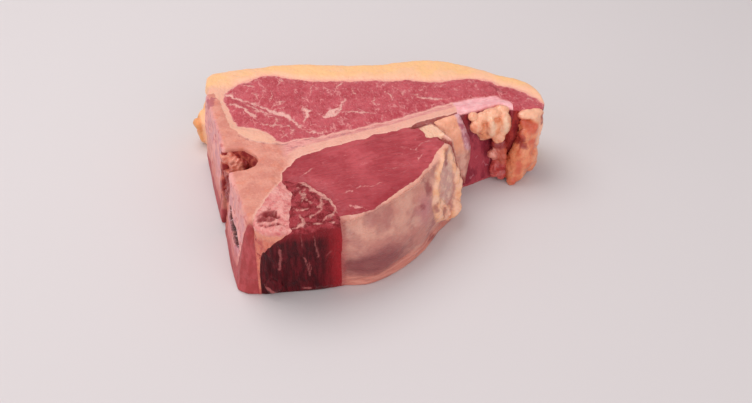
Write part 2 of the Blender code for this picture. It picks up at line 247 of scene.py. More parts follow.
# Swellings that a straight-sided solid leaves out: centre and radii, in mm.
SLAB_LOBES = (
    ((-112, 71, 17), (3.8, 5, 4.5)),    # tongue of back fat hanging at the corner
    ((-110.5, 71, 8), (3.0, 5, 7)),
    ((34.2, -53, 24), (4.6, 5.4, 14)),  # fat down the right of the fillet's torn end
    ((30.5, -59.5, 13), (6.4, 6, 8)),
    ((24.5, -66, 14), (3.4, 4, 6)),     # torn tag of fat beside it
    ((-71, -98.5, 52), (4, 2.5, 2.2)),  # shreds along the side muscle's upper edge
    ((-62, -99.5, 51.5), (5, 2.6, 2.2)),
    ((-92, -94, 9), (5, 3, 6)),         # fat at its foot
)

slab = grown_copy(SLAB_NODES[0], "slab", SEAM_CLOSING)
for node in SLAB_NODES[1:]:
    boolean(slab, grown_copy(node, "slab_share", SEAM_CLOSING), "UNION")
for centre, radii in SLAB_LOBES:
    boolean(slab, lobe("slab_lobe", centre, radii), "UNION")
reskin(slab, SKIN)

DOME = 1.0              # lean stands this much above the seams round it
SEAM_DIP = 0.8          # and the seams lie this much below the cut
BONE_SLIT = ((-40, 29.5), (-47, 27), (-54, 25.5), (-66, 26.5), (-74, 26.5))     # Y and height
SLIT_HALF = 4.0
SLIT_DEPTH = 5.0
KNIFE_GRAIN = (1.5, 2.4, 2.0)       # sizes of the waves in each tissue, along X, Y and Z
FIBRES = (3.0, 3.0, 18.0)
FINE_FIBRES = (1.2, 1.2, 8.0)
SLACK_SKIN = (18.0, 18.0, 6.0)
SKIN_WRINKLES = (22.0, 22.0, 2.6)
FAT_WAVES = (12.0, 12.0, 6.0)
CHINE_PITS = (          # centre, radii, depth
    ((-87.5, -82, 55), (4.6, 5, 6), 4.5), ((-84.5, -86, 55), (4, 2.6, 5), 3.5),
    ((-92.5, -84, 55), (4, 3, 4), 1.6),
)
CHINE_FOLDS = (((-96, -89), (-90, -90.5), (-84, -92)),)
CHINE_CLEFT = (-100.5, -86, 46)
BLADE_RECESS = (22.5, -23.5, 55)
FILLET_GAP = ((32, -40), (36, -46), (41, -50))      # cleft between the fillet's end and the wedge


def ragged(points):
    """Points shifted about by a millimetre or two, which roughens the outline of a hollow."""
    sway = np.stack([ripple(points, 4.0, 71.0), ripple(points, 4.0, 73.0), 0.0 * points[:, 0]], 1)
    level = np.array([1.0, 1.0, 0.0])
    return points + 3.4 * sway + 1.4 * ripple(points, 1.6, 75.0)[:, None] * level


def slit_gap(points):
    """Distance to the edge of the slit in the sawn face of the bone."""
    face = points[:, 1:]
    narrow = SLIT_HALF * ease(points[:, 1], -77.0, -66.0) * ease(points[:, 1], -37.0, -44.0)
    return distance_to(face, BONE_SLIT) - narrow + 4.0 * ease(points[:, 0], -100.0, -96.0)


TORN_RIDGES = (         # half width, then X and height down the fillet's torn end
    (2.0, ((29, 55), (25, 51), (20, 45), (17, 39))),
    (2.6, ((17, 39), (17, 30), (19, 22), (23, 15))),
    (1.0, ((32.5, 50), (35, 44), (37, 37))), (2.8, ((38, 35), (39, 24), (36, 14), (30, 8))),
    (1.4, ((22, 26), (25, 20), (28, 14))),
)


def wall_gap(points, lines):
    """Distance to the nearest of some marks drawn by X and height on an upright side."""
    face = np.stack([points[:, 0] + 2.0 * ripple(points, 5.0, 95.0),
                     points[:, 2] + 2.0 * ripple(points, 5.0, 97.0)], 1)
    return np.minimum.reduce([distance_to(face, line) - half for half, line in lines])


def shape_slab(thing):
    """The unevenness of a hand-sawn, hand-cut slab."""
    points = plan_points(thing)
    facing = normals_of(thing)
    still = settle(points)
    x, y, z = points.T
    top = ease(facing[:, 2], 0.5, 0.9) * ease(z, THICK - 4.0, THICK - 2.0)
    foot = ease(z, 6.0, 1.0)
    side = (1.0 - np.abs(facing[:, 2])) * (1.0 - foot)
    seam = np.minimum.reduce([distance_to(still, line) for line in (
        FAT_SEAM, CHINE_MUSCLE_LEFT, MUSCLE_SEAM, BLADE_BACK + ((88, -11),), BLADE_FRONT,
        SIDE_MUSCLE_LEFT, SIDE_MUSCLE_RIGHT, FILLET_EDGE)])
    lean = ease(y, 80.0, 60.0) * ease(seam, 0.2, 6.0)
    bone = ease(np.minimum(distance_to(points, BLADE_BACK), distance_to(points, BLADE_FRONT)),
                6.0, 3.0)
    # The cut face: lean domes between its seams, with the waves and grain of a knife cut.
    rise = top * (DOME * lean * (1.0 - bone) - SEAM_DIP)
    rise += top * (0.5 * ripple(points, 17.0, 3.1) + 0.25 * ripple(points, 5.0, 7.7))
    rise += top * 0.22 * ripple(points, KNIFE_GRAIN, 11.0)
    # The sides: upright fibres on the side muscle, slack skin on the coat, soft back fat.
    rise += side * (ripple(points, 15.0, 21.0) + 0.45 * ripple(points, 5.0, 5.5))
    front = ease(y, -84.0, -90.0) * ease(x, -44.0, -49.0) * ease(x, -99.0, -94.0)
    rise += side * front * (1.2 * ripple(points, FIBRES, 2.2)
                            + 0.5 * ripple(points, FINE_FIBRES, 9.2))
    coat = ease(signed_distance(still, FILLET_EDGE), 0.0, 2.0)
    coat *= ease(x, -52.0, -47.0) * ease(x, 22.0, 10.0) * ease(y, -34.0, -40.0)
    rise += side * coat * ripple(points, SLACK_SKIN, 31.0)
    wrinkle = ease(ripple(points, SKIN_WRINKLES, 77.0), 0.1, 0.5)
    rise -= side * coat * ease(z, 26.0, 14.0) * 0.7 * wrinkle
    cap = ease(facing[:, 1], 0.1, 0.5)
    rise += side * cap * (1.2 * ripple(points, FAT_WAVES, 41.0) + 0.5 * ripple(points, 3.5, 43.0))
    # Hollows: the slit, the pits and folds by the bone, and the clefts round the blade's end.
    rise -= SLIT_DEPTH * ease(slit_gap(points), 0.6, -2.0) * ease(x, -97.0, -100.0)
    torn_points = ragged(points)
    for centre, radii, depth in CHINE_PITS:
        rise -= depth * hollow(torn_points, centre, radii)
    for fold in CHINE_FOLDS:
        rise -= 1.5 * top * (1.0 - ease(distance_to(torn_points, fold), 0.0, 1.6))
    rise -= 2.4 * hollow(points, CHINE_CLEFT, (4.0, 5.0, 10.0))
    rise -= 4.5 * hollow(points, BLADE_RECESS, (8.0, 2.6, 7.0))
    rise -= 3.0 * ease(distance_to(points, FILLET_GAP), 3.0, 0.5) * ease(z, 26.0, 36.0)
    # The fillet's torn end, with its ridges of fat.
    torn = ease(x, 12.0, 16.0) * ease(y, -42.0, -48.0) * (1.0 - foot)
    rise += torn * side * 3.0 * ease(wall_gap(points, TORN_RIDGES), 1.2, -2.6)
    rise += torn * side * (0.7 * ripple(points, 2.4, 61.0) + 0.5 * ripple(points, 1.2, 63.0))
    # The coat rounds over at its upper edge, and the back fat's corner is drawn in.
    shoulder = coat * ease(z, 36.0, THICK) ** 2
    moved = points + facing * rise[:, None]
    moved[:, :2] -= facing[:, :2] * (3.5 * shoulder * side)[:, None]
    moved[:, 2] -= 4.0 * ease(signed_distance(still, FILLET_EDGE), 0.0, 6.0) * coat * top
    corner = ease(y, 48.0, 58.0) * ease(x, -88.0, -103.0)
    waist = ease(z, 48.0, 38.0) * ease(z, 20.0, 26.0)
    moved[:, 0] += corner * (4.2 * ease(y, 82.0, 70.0) + 4.5 * waist)
    moved[:, 2] = np.clip(moved[:, 2], 0.0, THICK + 1.2)
    put_points(thing, moved)


shape_slab(slab)

LEAN_STEPS = 16         # levels at which a leaning seam is drawn
SEAM_STEP = 1.3         # mm between its corners


def fine_outline(outline, guide):
    """Outline in short steps, as many as its guide needs; the steps stray as the seams do."""
    rough = []
    for number, start in enumerate(outline):
        end = outline[(number + 1) % len(outline)]
        length = math.dist(guide[number], guide[(number + 1) % len(guide)])
        count = max(1, round(length / SEAM_STEP))
        rough += [(Vector(start).lerp(Vector(end), k / count)).to_3d() for k in range(count)]
    rough = np.array([tuple(point) for point in rough])
    return rough[:, :2] + wander(rough)


def offcut(name, outline, foot=None, bend=1.0, low=-5.0, high=62.0):
    """Closed block the shape of one tissue's outline, to part it from the slab."""
    above = fine_outline(outline, outline)
    below = above if foot is None else fine_outline(foot, outline)
    bm = bmesh.new()
    order = bm.verts.layers.int.new("order")
    corners = [bm.verts.new((x, y, 0.0)) for x, y in above]
    for number, corner in enumerate(corners):
        corner[order] = number
    ring = bm.faces.new(corners).edges[:]
    steps = 1 if foot is None else LEAN_STEPS
    for step in range(steps + 1):
        height = low + (high - low) * step / steps
        share = min(max(height / THICK, 0.0), 1.0) ** bend
        if step:
            made = bmesh.ops.extrude_edge_only(bm, edges=ring)["geom"]
            ring = [item for item in made if isinstance(item, bmesh.types.BMEdge)
                    and len(item.link_faces) == 1]
        for vert in {vert for edge in ring for vert in edge.verts}:
            place = below[vert[order]] * (1.0 - share) + above[vert[order]] * share - MIDDLE
            vert.co = Vector((place[0], place[1], height)) * MM
    bmesh.ops.edgeloop_fill(bm, edges=ring)
    bmesh.ops.triangulate(bm, faces=bm.faces[:])
    bmesh.ops.recalc_face_normals(bm, faces=bm.faces[:])
    return new_object(name, bm)


def part(name, outline, foot=None, bend=1.0, low=-5.0):
    """One tissue of the slab, parted along its outline."""
    piece = bpy.data.objects.new(name, slab.data.copy())
    bpy.context.scene.collection.objects.link(piece)
    boolean(piece, offcut(name + "_outline", outline, foot, bend, low), "INTERSECT")
    return piece


CREASE = math.radians(52.0)         # edges sharper than this stay crisp


def finish_piece(piece, material, node):
    """Smooth shading with the seams kept crisp, the finish, and the piece's place in the model."""
    bm = bmesh.new()
    bm.from_mesh(piece.data)
    bmesh.ops.dissolve_degenerate(bm, edges=bm.edges[:], dist=SLIVER * MM)
    for face in bm.faces:
        face.smooth = True
    for edge in bm.edges:
        edge.smooth = len(edge.link_faces) == 2 and edge.calc_face_angle(0.0) < CREASE
    bm.to_mesh(piece.data)
    bm.free()
    piece.data.validate()       # drops any face that the cuts left twice
    piece.data.materials.clear()
    piece.data.materials.append(material)
    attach(piece, "root")
    if node:
        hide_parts(node)


def store(piece, name, values):
    """Keep one value a vertex on the piece, for its material to read."""
    layer = piece.data.attributes.new(name, "FLOAT", "POINT")
    layer.data.foreach_set("value", values.astype(np.float32))


def paint(red, green, blue):
    """Colour from the 0 to 255 values it shows as under plain white light."""
    shares = [value / 255.0 for value in (red, green, blue)]
    return tuple(s / 12.92 if s <= 0.04045 else ((s + 0.055) / 1.055) ** 2.4
                 for s in shares) + (1.0,)


# ---------------------------------------------------------------------------------------------
# Strip loin, the long eye of lean behind the bone, and the chine muscle in its corner. Coarse
# pink-red lean with broken threads of fat, and a thick fat seam between the two muscles. All
# tissue is mottled, so first come the shared patches, threads and edges of every finish.
# ---------------------------------------------------------------------------------------------
def new_group(name, inputs, outputs):
    """Empty node group with named sockets: (name, kind) pairs."""
    group = bpy.data.node_groups.new(name, "ShaderNodeTree")
    for way, sockets in (("INPUT", inputs), ("OUTPUT", outputs)):
        for label, kind in sockets:
            group.interface.new_socket(label, in_out=way, socket_type="NodeSocket" + kind)
    given = group.nodes.new("NodeGroupInput").outputs
    return group, given, group.nodes.new("NodeGroupOutput").inputs


def put(tree, kind, inputs=(), **settings):
    """Place a node; an input takes a value or another node's socket."""
    made = tree.nodes.new("ShaderNode" + kind)
    for label, value in settings.items():
        setattr(made, label, value)
    for label, value in dict(inputs).items():
        if isinstance(value, bpy.types.NodeSocket):
            tree.links.new(value, made.inputs[label])
        else:
            made.inputs[label].default_value = value
    return made


def calculate(tree, operation, *values):
    """One sum; values are numbers or sockets."""
    return put(tree, "Math", dict(enumerate(values)), operation=operation).outputs[0]


def fade(tree, value, low, high):
    """0 at low, 1 at high, smooth between."""
    made = put(tree, "MapRange", {"Value": value, "From Min": low, "From Max": high},
               interpolation_type="SMOOTHSTEP")
    return made.outputs["Result"]


def build_mottle():
    """Soft patches of any size."""
    group, given, out = new_group(
        "mottle", (("Place", "Vector"), ("Size", "Vector"), ("Low", "Float"), ("High", "Float"),
                   ("Detail", "Float")), (("Mask", "Float"),))
    scaled = put(group, "VectorMath", {0: given["Place"], 1: given["Size"]}, operation="DIVIDE")
    cloud = put(group, "TexNoise", {"Vector": scaled.outputs[0], "Scale": 1.0,
                                    "Detail": given["Detail"], "Roughness": 0.55})
    group.links.new(fade(group, cloud.outputs[0], given["Low"], given["High"]), out["Mask"])
    return group


def build_threads():
    """The thin broken threads of marbling."""
    group, given, out = new_group(
        "threads", (("Place", "Vector"), ("Size", "Vector"), ("Width", "Float"),
                    ("Bare", "Float")), (("Mask", "Float"),))
    scaled = put(group, "VectorMath", {0: given["Place"], 1: given["Size"]}, operation="DIVIDE")
    stray = put(group, "TexNoise", {"Vector": scaled.outputs[0], "Scale": 1.4, "Detail": 2.0})
    centred = put(group, "VectorMath", {0: stray.outputs["Color"], 1: (0.5, 0.5, 0.5)},
                  operation="SUBTRACT")
    swung = put(group, "VectorMath", {0: centred.outputs[0], "Scale": 1.3}, operation="SCALE")
    bent = put(group, "VectorMath", {0: scaled.outputs[0], 1: swung.outputs[0]}, operation="ADD")
    cells = put(group, "TexVoronoi", {"Vector": bent.outputs[0], "Scale": 1.0},
                feature="DISTANCE_TO_EDGE")
    thread = fade(group, cells.outputs["Distance"], given["Width"], 0.0)
    moved = put(group, "VectorMath", {0: scaled.outputs[0], 1: (31.7, 12.3, 5.1)})
    patch = put(group, "TexNoise", {"Vector": moved.outputs[0], "Scale": 1.1, "Detail": 2.0})
    high = calculate(group, "ADD", given["Bare"], 0.1)
    shown = fade(group, patch.outputs[0], given["Bare"], high)
    group.links.new(calculate(group, "MULTIPLY", thread, shown), out["Mask"])
    return group


def build_edge_fade():
    """A mask that fades out with distance from an edge, and strays as flesh does."""
    group, given, out = new_group(
        "edge_fade", (("Place", "Vector"), ("Distance", "Float"), ("Full", "Float"),
                      ("Gone", "Float"), ("Swing", "Float"), ("Grain", "Float")),
        (("Mask", "Float"),))
    scaled = put(group, "VectorMath", {0: given["Place"], "Scale": given["Grain"]},
                 operation="SCALE")
    cloud = put(group, "TexNoise", {"Vector": scaled.outputs[0], "Scale": 1.0, "Detail": 3.0})
    swing = calculate(group, "MULTIPLY",
                      calculate(group, "SUBTRACT", cloud.outputs[0], 0.5), given["Swing"])
    gap = calculate(group, "ADD", given["Distance"], swing)
    group.links.new(fade(group, gap, given["Gone"], given["Full"]), out["Mask"])
    return group


MOTTLE, THREADS, EDGE_FADE = build_mottle(), build_threads(), build_edge_fade()


class Finish:
    """A material in the making: colours laid one over another through masks, sizes in mm."""

    def __init__(self, name, roughness, gloss, wet, soft):
        self.material = bpy.data.materials.new(name)
        self.material.use_nodes = True
        self.tree = self.material.node_tree
        self.surface = self.tree.nodes["Principled BSDF"].inputs
        for label, value in (("Roughness", roughness), ("Specular IOR Level", gloss),
                             ("Coat Weight", wet), ("Coat Roughness", 0.18),
                             ("Subsurface Weight", soft), ("Subsurface Scale", 2.0 * MM),
                             ("Subsurface Radius", (1.0, 0.35, 0.25))):
            self.surface[label].default_value = value
        coordinates = put(self.tree, "TexCoord").outputs["Object"]
        self.place = put(self.tree, "VectorMath", {0: coordinates, "Scale": 1.0 / MM},
                         operation="SCALE").outputs[0]

    def use(self, group, inputs):
        """Place one of the shared groups and take its mask."""
        return put(self.tree, "Group", {"Place": self.place} | inputs, node_tree=group).outputs[0]

    def mottle(self, size, low=0.4, high=0.6, detail=3.0):
        """Soft patches; a size is one value or one for each axis."""
        size = size if isinstance(size, tuple) else (size, size, size)
        return self.use(MOTTLE, {"Size": size, "Low": low, "High": high, "Detail": detail})

    def threads(self, size, width, bare):
        """Thin broken threads, fewer as bare rises."""
        return self.use(THREADS, {"Size": size, "Width": width, "Bare": bare})

    def near(self, stored, full, gone, swing=1.0, grain=0.5):
        """Mask from a value stored on the piece: 1 at full, 0 at gone."""
        distance = put(self.tree, "Attribute", attribute_name=stored).outputs["Fac"]
        return self.use(EDGE_FADE, {"Distance": distance, "Full": full, "Gone": gone,
                                    "Swing": swing, "Grain": grain})

    def times(self, *masks):
        return calculate(self.tree, "MULTIPLY", *masks)

    def over(self, below, colour, mask, strength=1.0):
        """Lay a colour over another through a mask."""
        if strength != 1.0:
            mask = self.times(mask, strength)
        return put(self.tree, "Mix", {0: mask, 6: below, 7: colour}, data_type="RGBA").outputs[2]

    def ground(self, below, colour, mask):
        self.colour = self.over(below, colour, mask)

    def lay(self, colour, mask, strength=1.0):
        self.colour = self.over(self.colour, colour, mask, strength)

    def finished(self, height, depth):
        """The material, with its colour and a relief of a depth in mm."""
        self.tree.links.new(self.colour, self.surface["Base Color"])
        bump = put(self.tree, "Bump", {"Strength": 1.0, "Distance": depth * MM, "Height": height})
        self.tree.links.new(bump.outputs[0], self.surface["Normal"])
        return self.material


STRIP_VEINS = (             # half width in mm, then points on the plan
    (1.5, ((-93, 50), (-88, 45), (-82, 39), (-76, 33))),
    (1.1, ((-80, 37), (-73, 30), (-67, 23), (-62, 18))),
    (2.2, ((-68, 23), (-63, 18), (-57, 12), (-54, 8))),
    (1.2, ((-59, 14), (-54, 7), (-52, 1), (-51, -6))),
    (0.8, ((-84, 40), (-78, 30), (-72, 21), (-69, 14))),
    (0.7, ((-76, 30), (-74, 22), (-68, 18), (-62, 14))),
    (0.6, ((-72, 22), (-66, 12), (-60, 8))),
    (0.9, ((-51, -4), (-47, -9), (-41, -12), (-34, -12))),
    (0.9, ((-62, 22), (-58, 28), (-53, 28))),
    (1.2, ((-93, 35), (-87, 34), (-83, 28), (-80, 23), (-78, 18), (-76, 12))),
    (0.7, ((-76, 12), (-72, 6), (-68, 2), (-60, 0), (-56, -6), (-59, -12))),
    (0.6, ((-68, 2), (-64, 8), (-66, 14))),
    (0.6, ((-64, -2), (-62, -9), (-67, -12))),
    (1.6, ((-45, 16), (-42, 11), (-44, 6), (-48, 2))),
    (3.4, ((-34, 2), (-28, 6), (-22, 9))),
    (1.0, ((-23, 8), (-19, 13), (-15, 19))),
    (1.1, ((-21, 5), (-15, 3), (-9, 0), (-2, -3))),
    (0.9, ((-12, 41), (-14, 36), (-18, 33))),
    (0.7, ((-50, 57), (-51, 52), (-55, 47))),
    (0.8, ((-78, 56), (-73, 52), (-70, 50))),
    (0.6, ((-32, 43), (-34, 36), (-36, 31))),
    (0.8, ((12, 20), (16, 15), (14, 9), (12, 4))),
    (0.6, ((4, 16), (1, 9), (3, 5))),
    (1.0, ((31, 10), (33, 5), (40, 2), (50, -2))),
    (0.5, ((20, 22), (24, 16), (22, 10))),
    (0.5, ((-8, 30), (-9, 24), (-6, 18))),
    (0.5, ((-60, 42), (-62, 35), (-58, 30))),
    (0.5, ((-73, 44), (-70, 38), (-71, 33))),
    (0.6, ((96, -19), (101, -16), (104, -19))),
)
DARK_LINES = ((0.4, ((86, 13), (84, 6), (86, -1), (89, -7))), (1.0, ((-76, 57), (-71, 55))))
VEIN_REACH = 20.0           # farther than this a vein leaves no trace
VEIN_TIP = 0.35             # a vein's width at its ends, as a share of its middle
LOIN_SIDES = FAT_SEAM + CHINE_MUSCLE_LEFT[1:] + BLADE_BACK + CARTILAGE[1:6]


def vein_gap(points, veins):
    """Distance to the nearest vein's edge in mm, below 0 inside it; veins wriggle and taper."""
    strayed = points.copy()
    strayed[:, 0] += 2.2 * ripple(points, 5.0, 81.0) + 1.3 * ripple(points, 2.0, 83.0)
    strayed[:, 1] += 2.2 * ripple(points, 5.0, 87.0) + 1.3 * ripple(points, 2.0, 89.0)
    best = np.full(len(points), VEIN_REACH)
    for half, line in veins:
        for number, (start, end) in enumerate(zip(line, line[1:])):
            away, share, side = from_stretch(strayed, start, end)
            run = (number + share) / (len(line) - 1)
            width = half * (VEIN_TIP + (1.0 - VEIN_TIP) * np.sin(math.pi * run))
            best = np.minimum(best, away - width)
    return best


def mark(piece, veins, sides):
    """Store how far each vertex is from the veins and from the tissue's sides."""
    points = plan_points(piece)
    depth = np.minimum(THICK - points[:, 2], points[:, 2])
    store(piece, "vein", vein_gap(points, veins) + 0.08 * depth)
    store(piece, "side", np.minimum(distance_to(settle(points), sides), 30.0))
    return points, depth


def loin_finish(name, marbling):
    look = Finish(name, 0.45, 0.22, 0.06, 0.1)
    look.ground(paint(184, 66, 77), paint(198, 82, 92), look.mottle(12.0))
    look.lay(paint(172, 54, 64), look.mottle(4.5, 0.5, 0.7), 0.6)
    look.lay(paint(162, 44, 54), look.mottle((1.4, 2.6, 2.0), 0.5, 0.75), 0.45)
    look.lay(paint(214, 112, 118), look.mottle(2.6, 0.54, 0.68), 0.5)
    web = look.threads((3.2, 4.4, 3.6), 0.22, 0.42)
    look.lay(paint(214, 116, 120), web, 0.28)
    streak = look.threads((5.2, 7.6, 6.0), 0.12, 0.56 - 0.09 * marbling)
    look.lay(paint(230, 152, 150), streak, 0.62)
    fleck = look.mottle((1.3, 1.9, 1.6), 0.66 - 0.03 * marbling, 0.74, 1.0)
    look.lay(paint(230, 154, 152), fleck, 0.5)
    vein = look.near("vein", -1.2, 0.5, 2.0, 0.7)
    look.lay(paint(238, 178, 168), vein, 0.95)
    side = look.near("side", 0.0, 1.3, 1.8, 0.7)
    look.lay(paint(228, 144, 142), side, 0.7)
    dark = look.near("dark", -0.2, 0.9, 0.8, 0.8)
    look.lay(paint(140, 34, 48), dark, 0.6)
    raw = look.over(paint(180, 66, 80), paint(144, 40, 58), look.mottle((6.0, 6.0, 14.0)))
    raw = look.over(raw, paint(222, 150, 160), look.threads((6.0, 6.0, 16.0), 0.07, 0.55), 0.5)
    brown = look.over(paint(188, 62, 56), paint(146, 28, 36), look.mottle((4.0, 4.0, 12.0)))
    raw = look.over(raw, brown, look.near("tailward", 0.0, 6.0, 4.0, 0.3))
    look.lay(raw, look.near("inner", 1.0, 0.0, 0.8, 0.5))
    relief = calculate(look.tree, "ADD", look.mottle((1.2, 2.2, 1.6), 0.2, 0.8),
                       look.times(vein, 0.8))
    return look.finished(relief, 0.3)


def finish_loin(piece, name, marbling, node):
    """Mark the veins, the dark lines and the torn inner wall towards the tail, and finish."""
    points, depth = mark(piece, STRIP_VEINS, LOIN_SIDES)
    store(piece, "dark", vein_gap(points, DARK_LINES) + 0.5 * depth)
    store(piece, "tailward", 84.0 - points[:, 0])
    store(piece, "inner", ease(depth, 1.0, 3.0) * ease(points[:, 1], 5.0, 0.0)
          * ease(points[:, 0], 45.0, 50.0) * 1.5 - 0.2)
    finish_piece(piece, loin_finish(name, marbling), node)


STRIP_OUTLINE = (FAT_SEAM + MUSCLE_SEAM[1:] + BLADE_BACK[1:]
                 + ((52, -17), (49, -30), (50, -60), (84, -60), (84, -17), (87, -15), (91, -21),
                    (93, -27), (95, -60), (135, -60), (135, -24)))
strip_loin = part("eye_of_strip_loin", STRIP_OUTLINE)
boolean(strip_loin, offcut("cartilage_pocket", CARTILAGE, low=CARTILAGE_FLOOR), "DIFFERENCE")
finish_loin(strip_loin, "strip_loin_lean", 0.5, "strip_loin")

chine_muscle = part("chine_muscle_lean", CHINE_MUSCLE_LEFT + ((-52, -16),) + MUSCLE_SEAM[::-1][:-1])
finish_loin(chine_muscle, "chine_muscle_lean", 0.2, "chine_muscle")

flank_strip = part("flank_end", ((84, -60), (95, -60), (93, -27), (91, -21), (87, -15), (84, -17)))
boolean(flank_strip, offcut("cartilage_notch", CARTILAGE, low=CARTILAGE_FLOOR), "DIFFERENCE")
finish_loin(flank_strip, "flank_lean", 0.1, "flank_strip")


# ---------------------------------------------------------------------------------------------
# Fillet, the smooth round muscle in front of the bone: fine straight grain, deep crimson, with
# only a few hair-thin pale lines, and darker where it was torn from the bone.
# ---------------------------------------------------------------------------------------------
FILLET_VEINS = (
    (0.25, ((3, -41), (9, -46), (12, -49), (16, -44), (20, -42), (24, -42))),
    (0.22, ((-12, -60), (-6, -62), (2, -61))),
    (0.35, ((-42, -75), (-36, -75), (-31, -72), (-24, -74), (-18, -72))),
    (0.3, ((-64, -53), (-58, -50), (-53, -48))),
    (0.8, ((15, -38.5), (15.5, -38))),
    (0.4, ((9, -58), (14, -53))),
    (0.5, ((-43, -88), (-38, -91), (-33, -93))),
)
FILLET_OUTLINE = (SIDE_MUSCLE_RIGHT[::-1] + FILLET_EDGE[1:] + NUGGET_EDGE[1:]
                  + BLADE_FRONT[5:-1])


def fillet_finish():
    look = Finish("fillet_lean", 0.42, 0.22, 0.08, 0.1)
    look.ground(paint(170, 54, 64), paint(194, 78, 86), look.mottle(20.0))
    grain = look.mottle((9.0, 1.8, 4.0), 0.42, 0.66)
    look.lay(paint(200, 86, 92), grain, 0.35)
    look.lay(paint(158, 42, 52), look.mottle((7.0, 2.4, 3.0), 0.5, 0.72), 0.5)
    look.lay(paint(222, 128, 130), look.threads((14.0, 5.0, 6.0), 0.03, 0.5), 0.45)
    front = look.near("front", 88.0, 50.0, 24.0, 0.1)
    look.lay(paint(160, 46, 56), front, 0.5)
    shade = look.near("side", 1.0, 8.0, 6.0, 0.2)
    look.lay(paint(150, 38, 48), shade, 0.35)
    vein = look.near("vein", -0.35, 0.45, 0.5, 1.0)
    look.lay(paint(230, 156, 150), vein, 0.75)
    return look.finished(grain, 0.25)


fillet = part("fillet_eye", FILLET_OUTLINE)
mark(fillet, FILLET_VEINS, BLADE_FRONT[8:] + SIDE_MUSCLE_RIGHT[::-1] + FILLET_EDGE[:6])
store(fillet, "front", -plan_points(fillet)[:, 1])
finish_piece(fillet, fillet_finish(), "tenderloin")


# ---------------------------------------------------------------------------------------------
# Side muscle, a loose dark muscle beside the fillet. Pink and veined on the cut face; its outer
# face is dry-dark wine red with upright fibres and white streaks of tendon.
# ---------------------------------------------------------------------------------------------
SIDE_VEINS = (
    (1.5, ((-65, -57), (-60, -65), (-55, -73), (-50, -82))),
    (1.6, ((-51, -78), (-49, -86), (-49, -95))),
    (0.6, ((-56, -74), (-57, -82), (-61, -88), (-67, -92))),
    (0.7, ((-50, -88), (-54, -93), (-60, -96))),
    (0.6, ((-72, -88), (-73, -93), (-69, -98))),
    (0.4, ((-68, -62), (-65, -70), (-68, -77))),
    (0.4, ((-63, -66), (-66, -74), (-63, -80))),
    (0.5, ((-74, -80), (-70, -84), (-66, -84))),
    (1.2, ((-78, -97), (-71, -97))), (1.0, ((-66, -98), (-62, -98.5))),
    (0.8, ((-58, -99), (-54, -99))),
)
SIDE_TENDONS = (            # half width, x and height of each end on the outer face
    (0.6, (-86.8, 39), (-87.5, 22)), (0.3, (-74.7, 51), (-73.9, 40)), (0.4, (-73.1, 31), (-70, 15)),
    (0.4, (-67.1, 48), (-65.2, 31)), (0.3, (-70.1, 26), (-69, 20)), (0.2, (-56.6, 34), (-60, 31)),
    (1.2, (-96, 9), (-91, 4)), (0.9, (-74, 4), (-70, 3)),
)


def tendon_gap(points):
    """Distance from each point to the nearest tendon or shred on the outer face."""
    face = np.stack([points[:, 0] + 0.9 * ripple(points, 5.0, 91.0), points[:, 2]], 1)
    gaps = [distance_to(face, (start, end)) - half for half, start, end in SIDE_TENDONS]
    return np.minimum.reduce(gaps) + ease(points[:, 1], -90.0, -80.0) * 20.0


def side_finish():
    look = Finish("side_muscle_lean", 0.4, 0.12, 0.1, 0.04)
    look.ground(paint(128, 26, 34), paint(168, 56, 64), look.mottle(5.0))
    web = look.threads((3.0, 4.0, 3.2), 0.14, 0.46)
    look.lay(paint(196, 92, 98), web, 0.45)
    vein = look.near("vein", -1.0, 0.8, 2.4, 0.6)
    look.lay(paint(234, 164, 154), vein, 0.92)
    wine = look.over(paint(70, 8, 16), paint(98, 16, 26), look.mottle((2.0, 2.0, 14.0)))
    wine = look.over(wine, paint(52, 6, 14), look.mottle((5.0, 5.0, 12.0), 0.5, 0.66), 0.6)
    right = look.near("right", 0.0, 13.0, 3.0, 0.3)
    wine = look.over(wine, paint(168, 34, 42), right, 0.9)
    lip = look.near("face", 2.0, 9.0, 6.0, 0.25)
    wine = look.over(wine, paint(150, 36, 44), lip, 0.6)
    tendon = look.near("tendon", -0.6, 0.5, 1.2, 0.8)
    wine = look.over(wine, paint(196, 110, 108), tendon, 0.6)
    face = look.near("face", 1.6, -0.6, 3.0, 0.5)
    look.lay(wine, face)
    relief = look.mottle((1.0, 1.0, 7.0), 0.3, 0.7)
    return look.finished(relief, 0.35)


LEANING_TOP = SIDE_MUSCLE_LEFT + ((-79, -125), (-51, -125)) + SIDE_MUSCLE_RIGHT[:-1]
LEANING_FOOT = SIDE_MUSCLE_LEFT_FOOT + ((-99, -125), (-51, -125)) + SIDE_MUSCLE_RIGHT[:-1]
side_muscle = part("side_muscle_lean", LEANING_TOP, LEANING_FOOT, SIDE_MUSCLE_BEND)
mark(side_muscle, SIDE_VEINS, SIDE_MUSCLE_LEFT)
side_points = plan_points(side_muscle)
store(side_muscle, "face", THICK - 2.0 - side_points[:, 2])
store(side_muscle, "right", -51.0 - side_points[:, 0])
store(side_muscle, "tendon", tendon_gap(side_points))
finish_piece(side_muscle, side_finish(), "side_muscle")


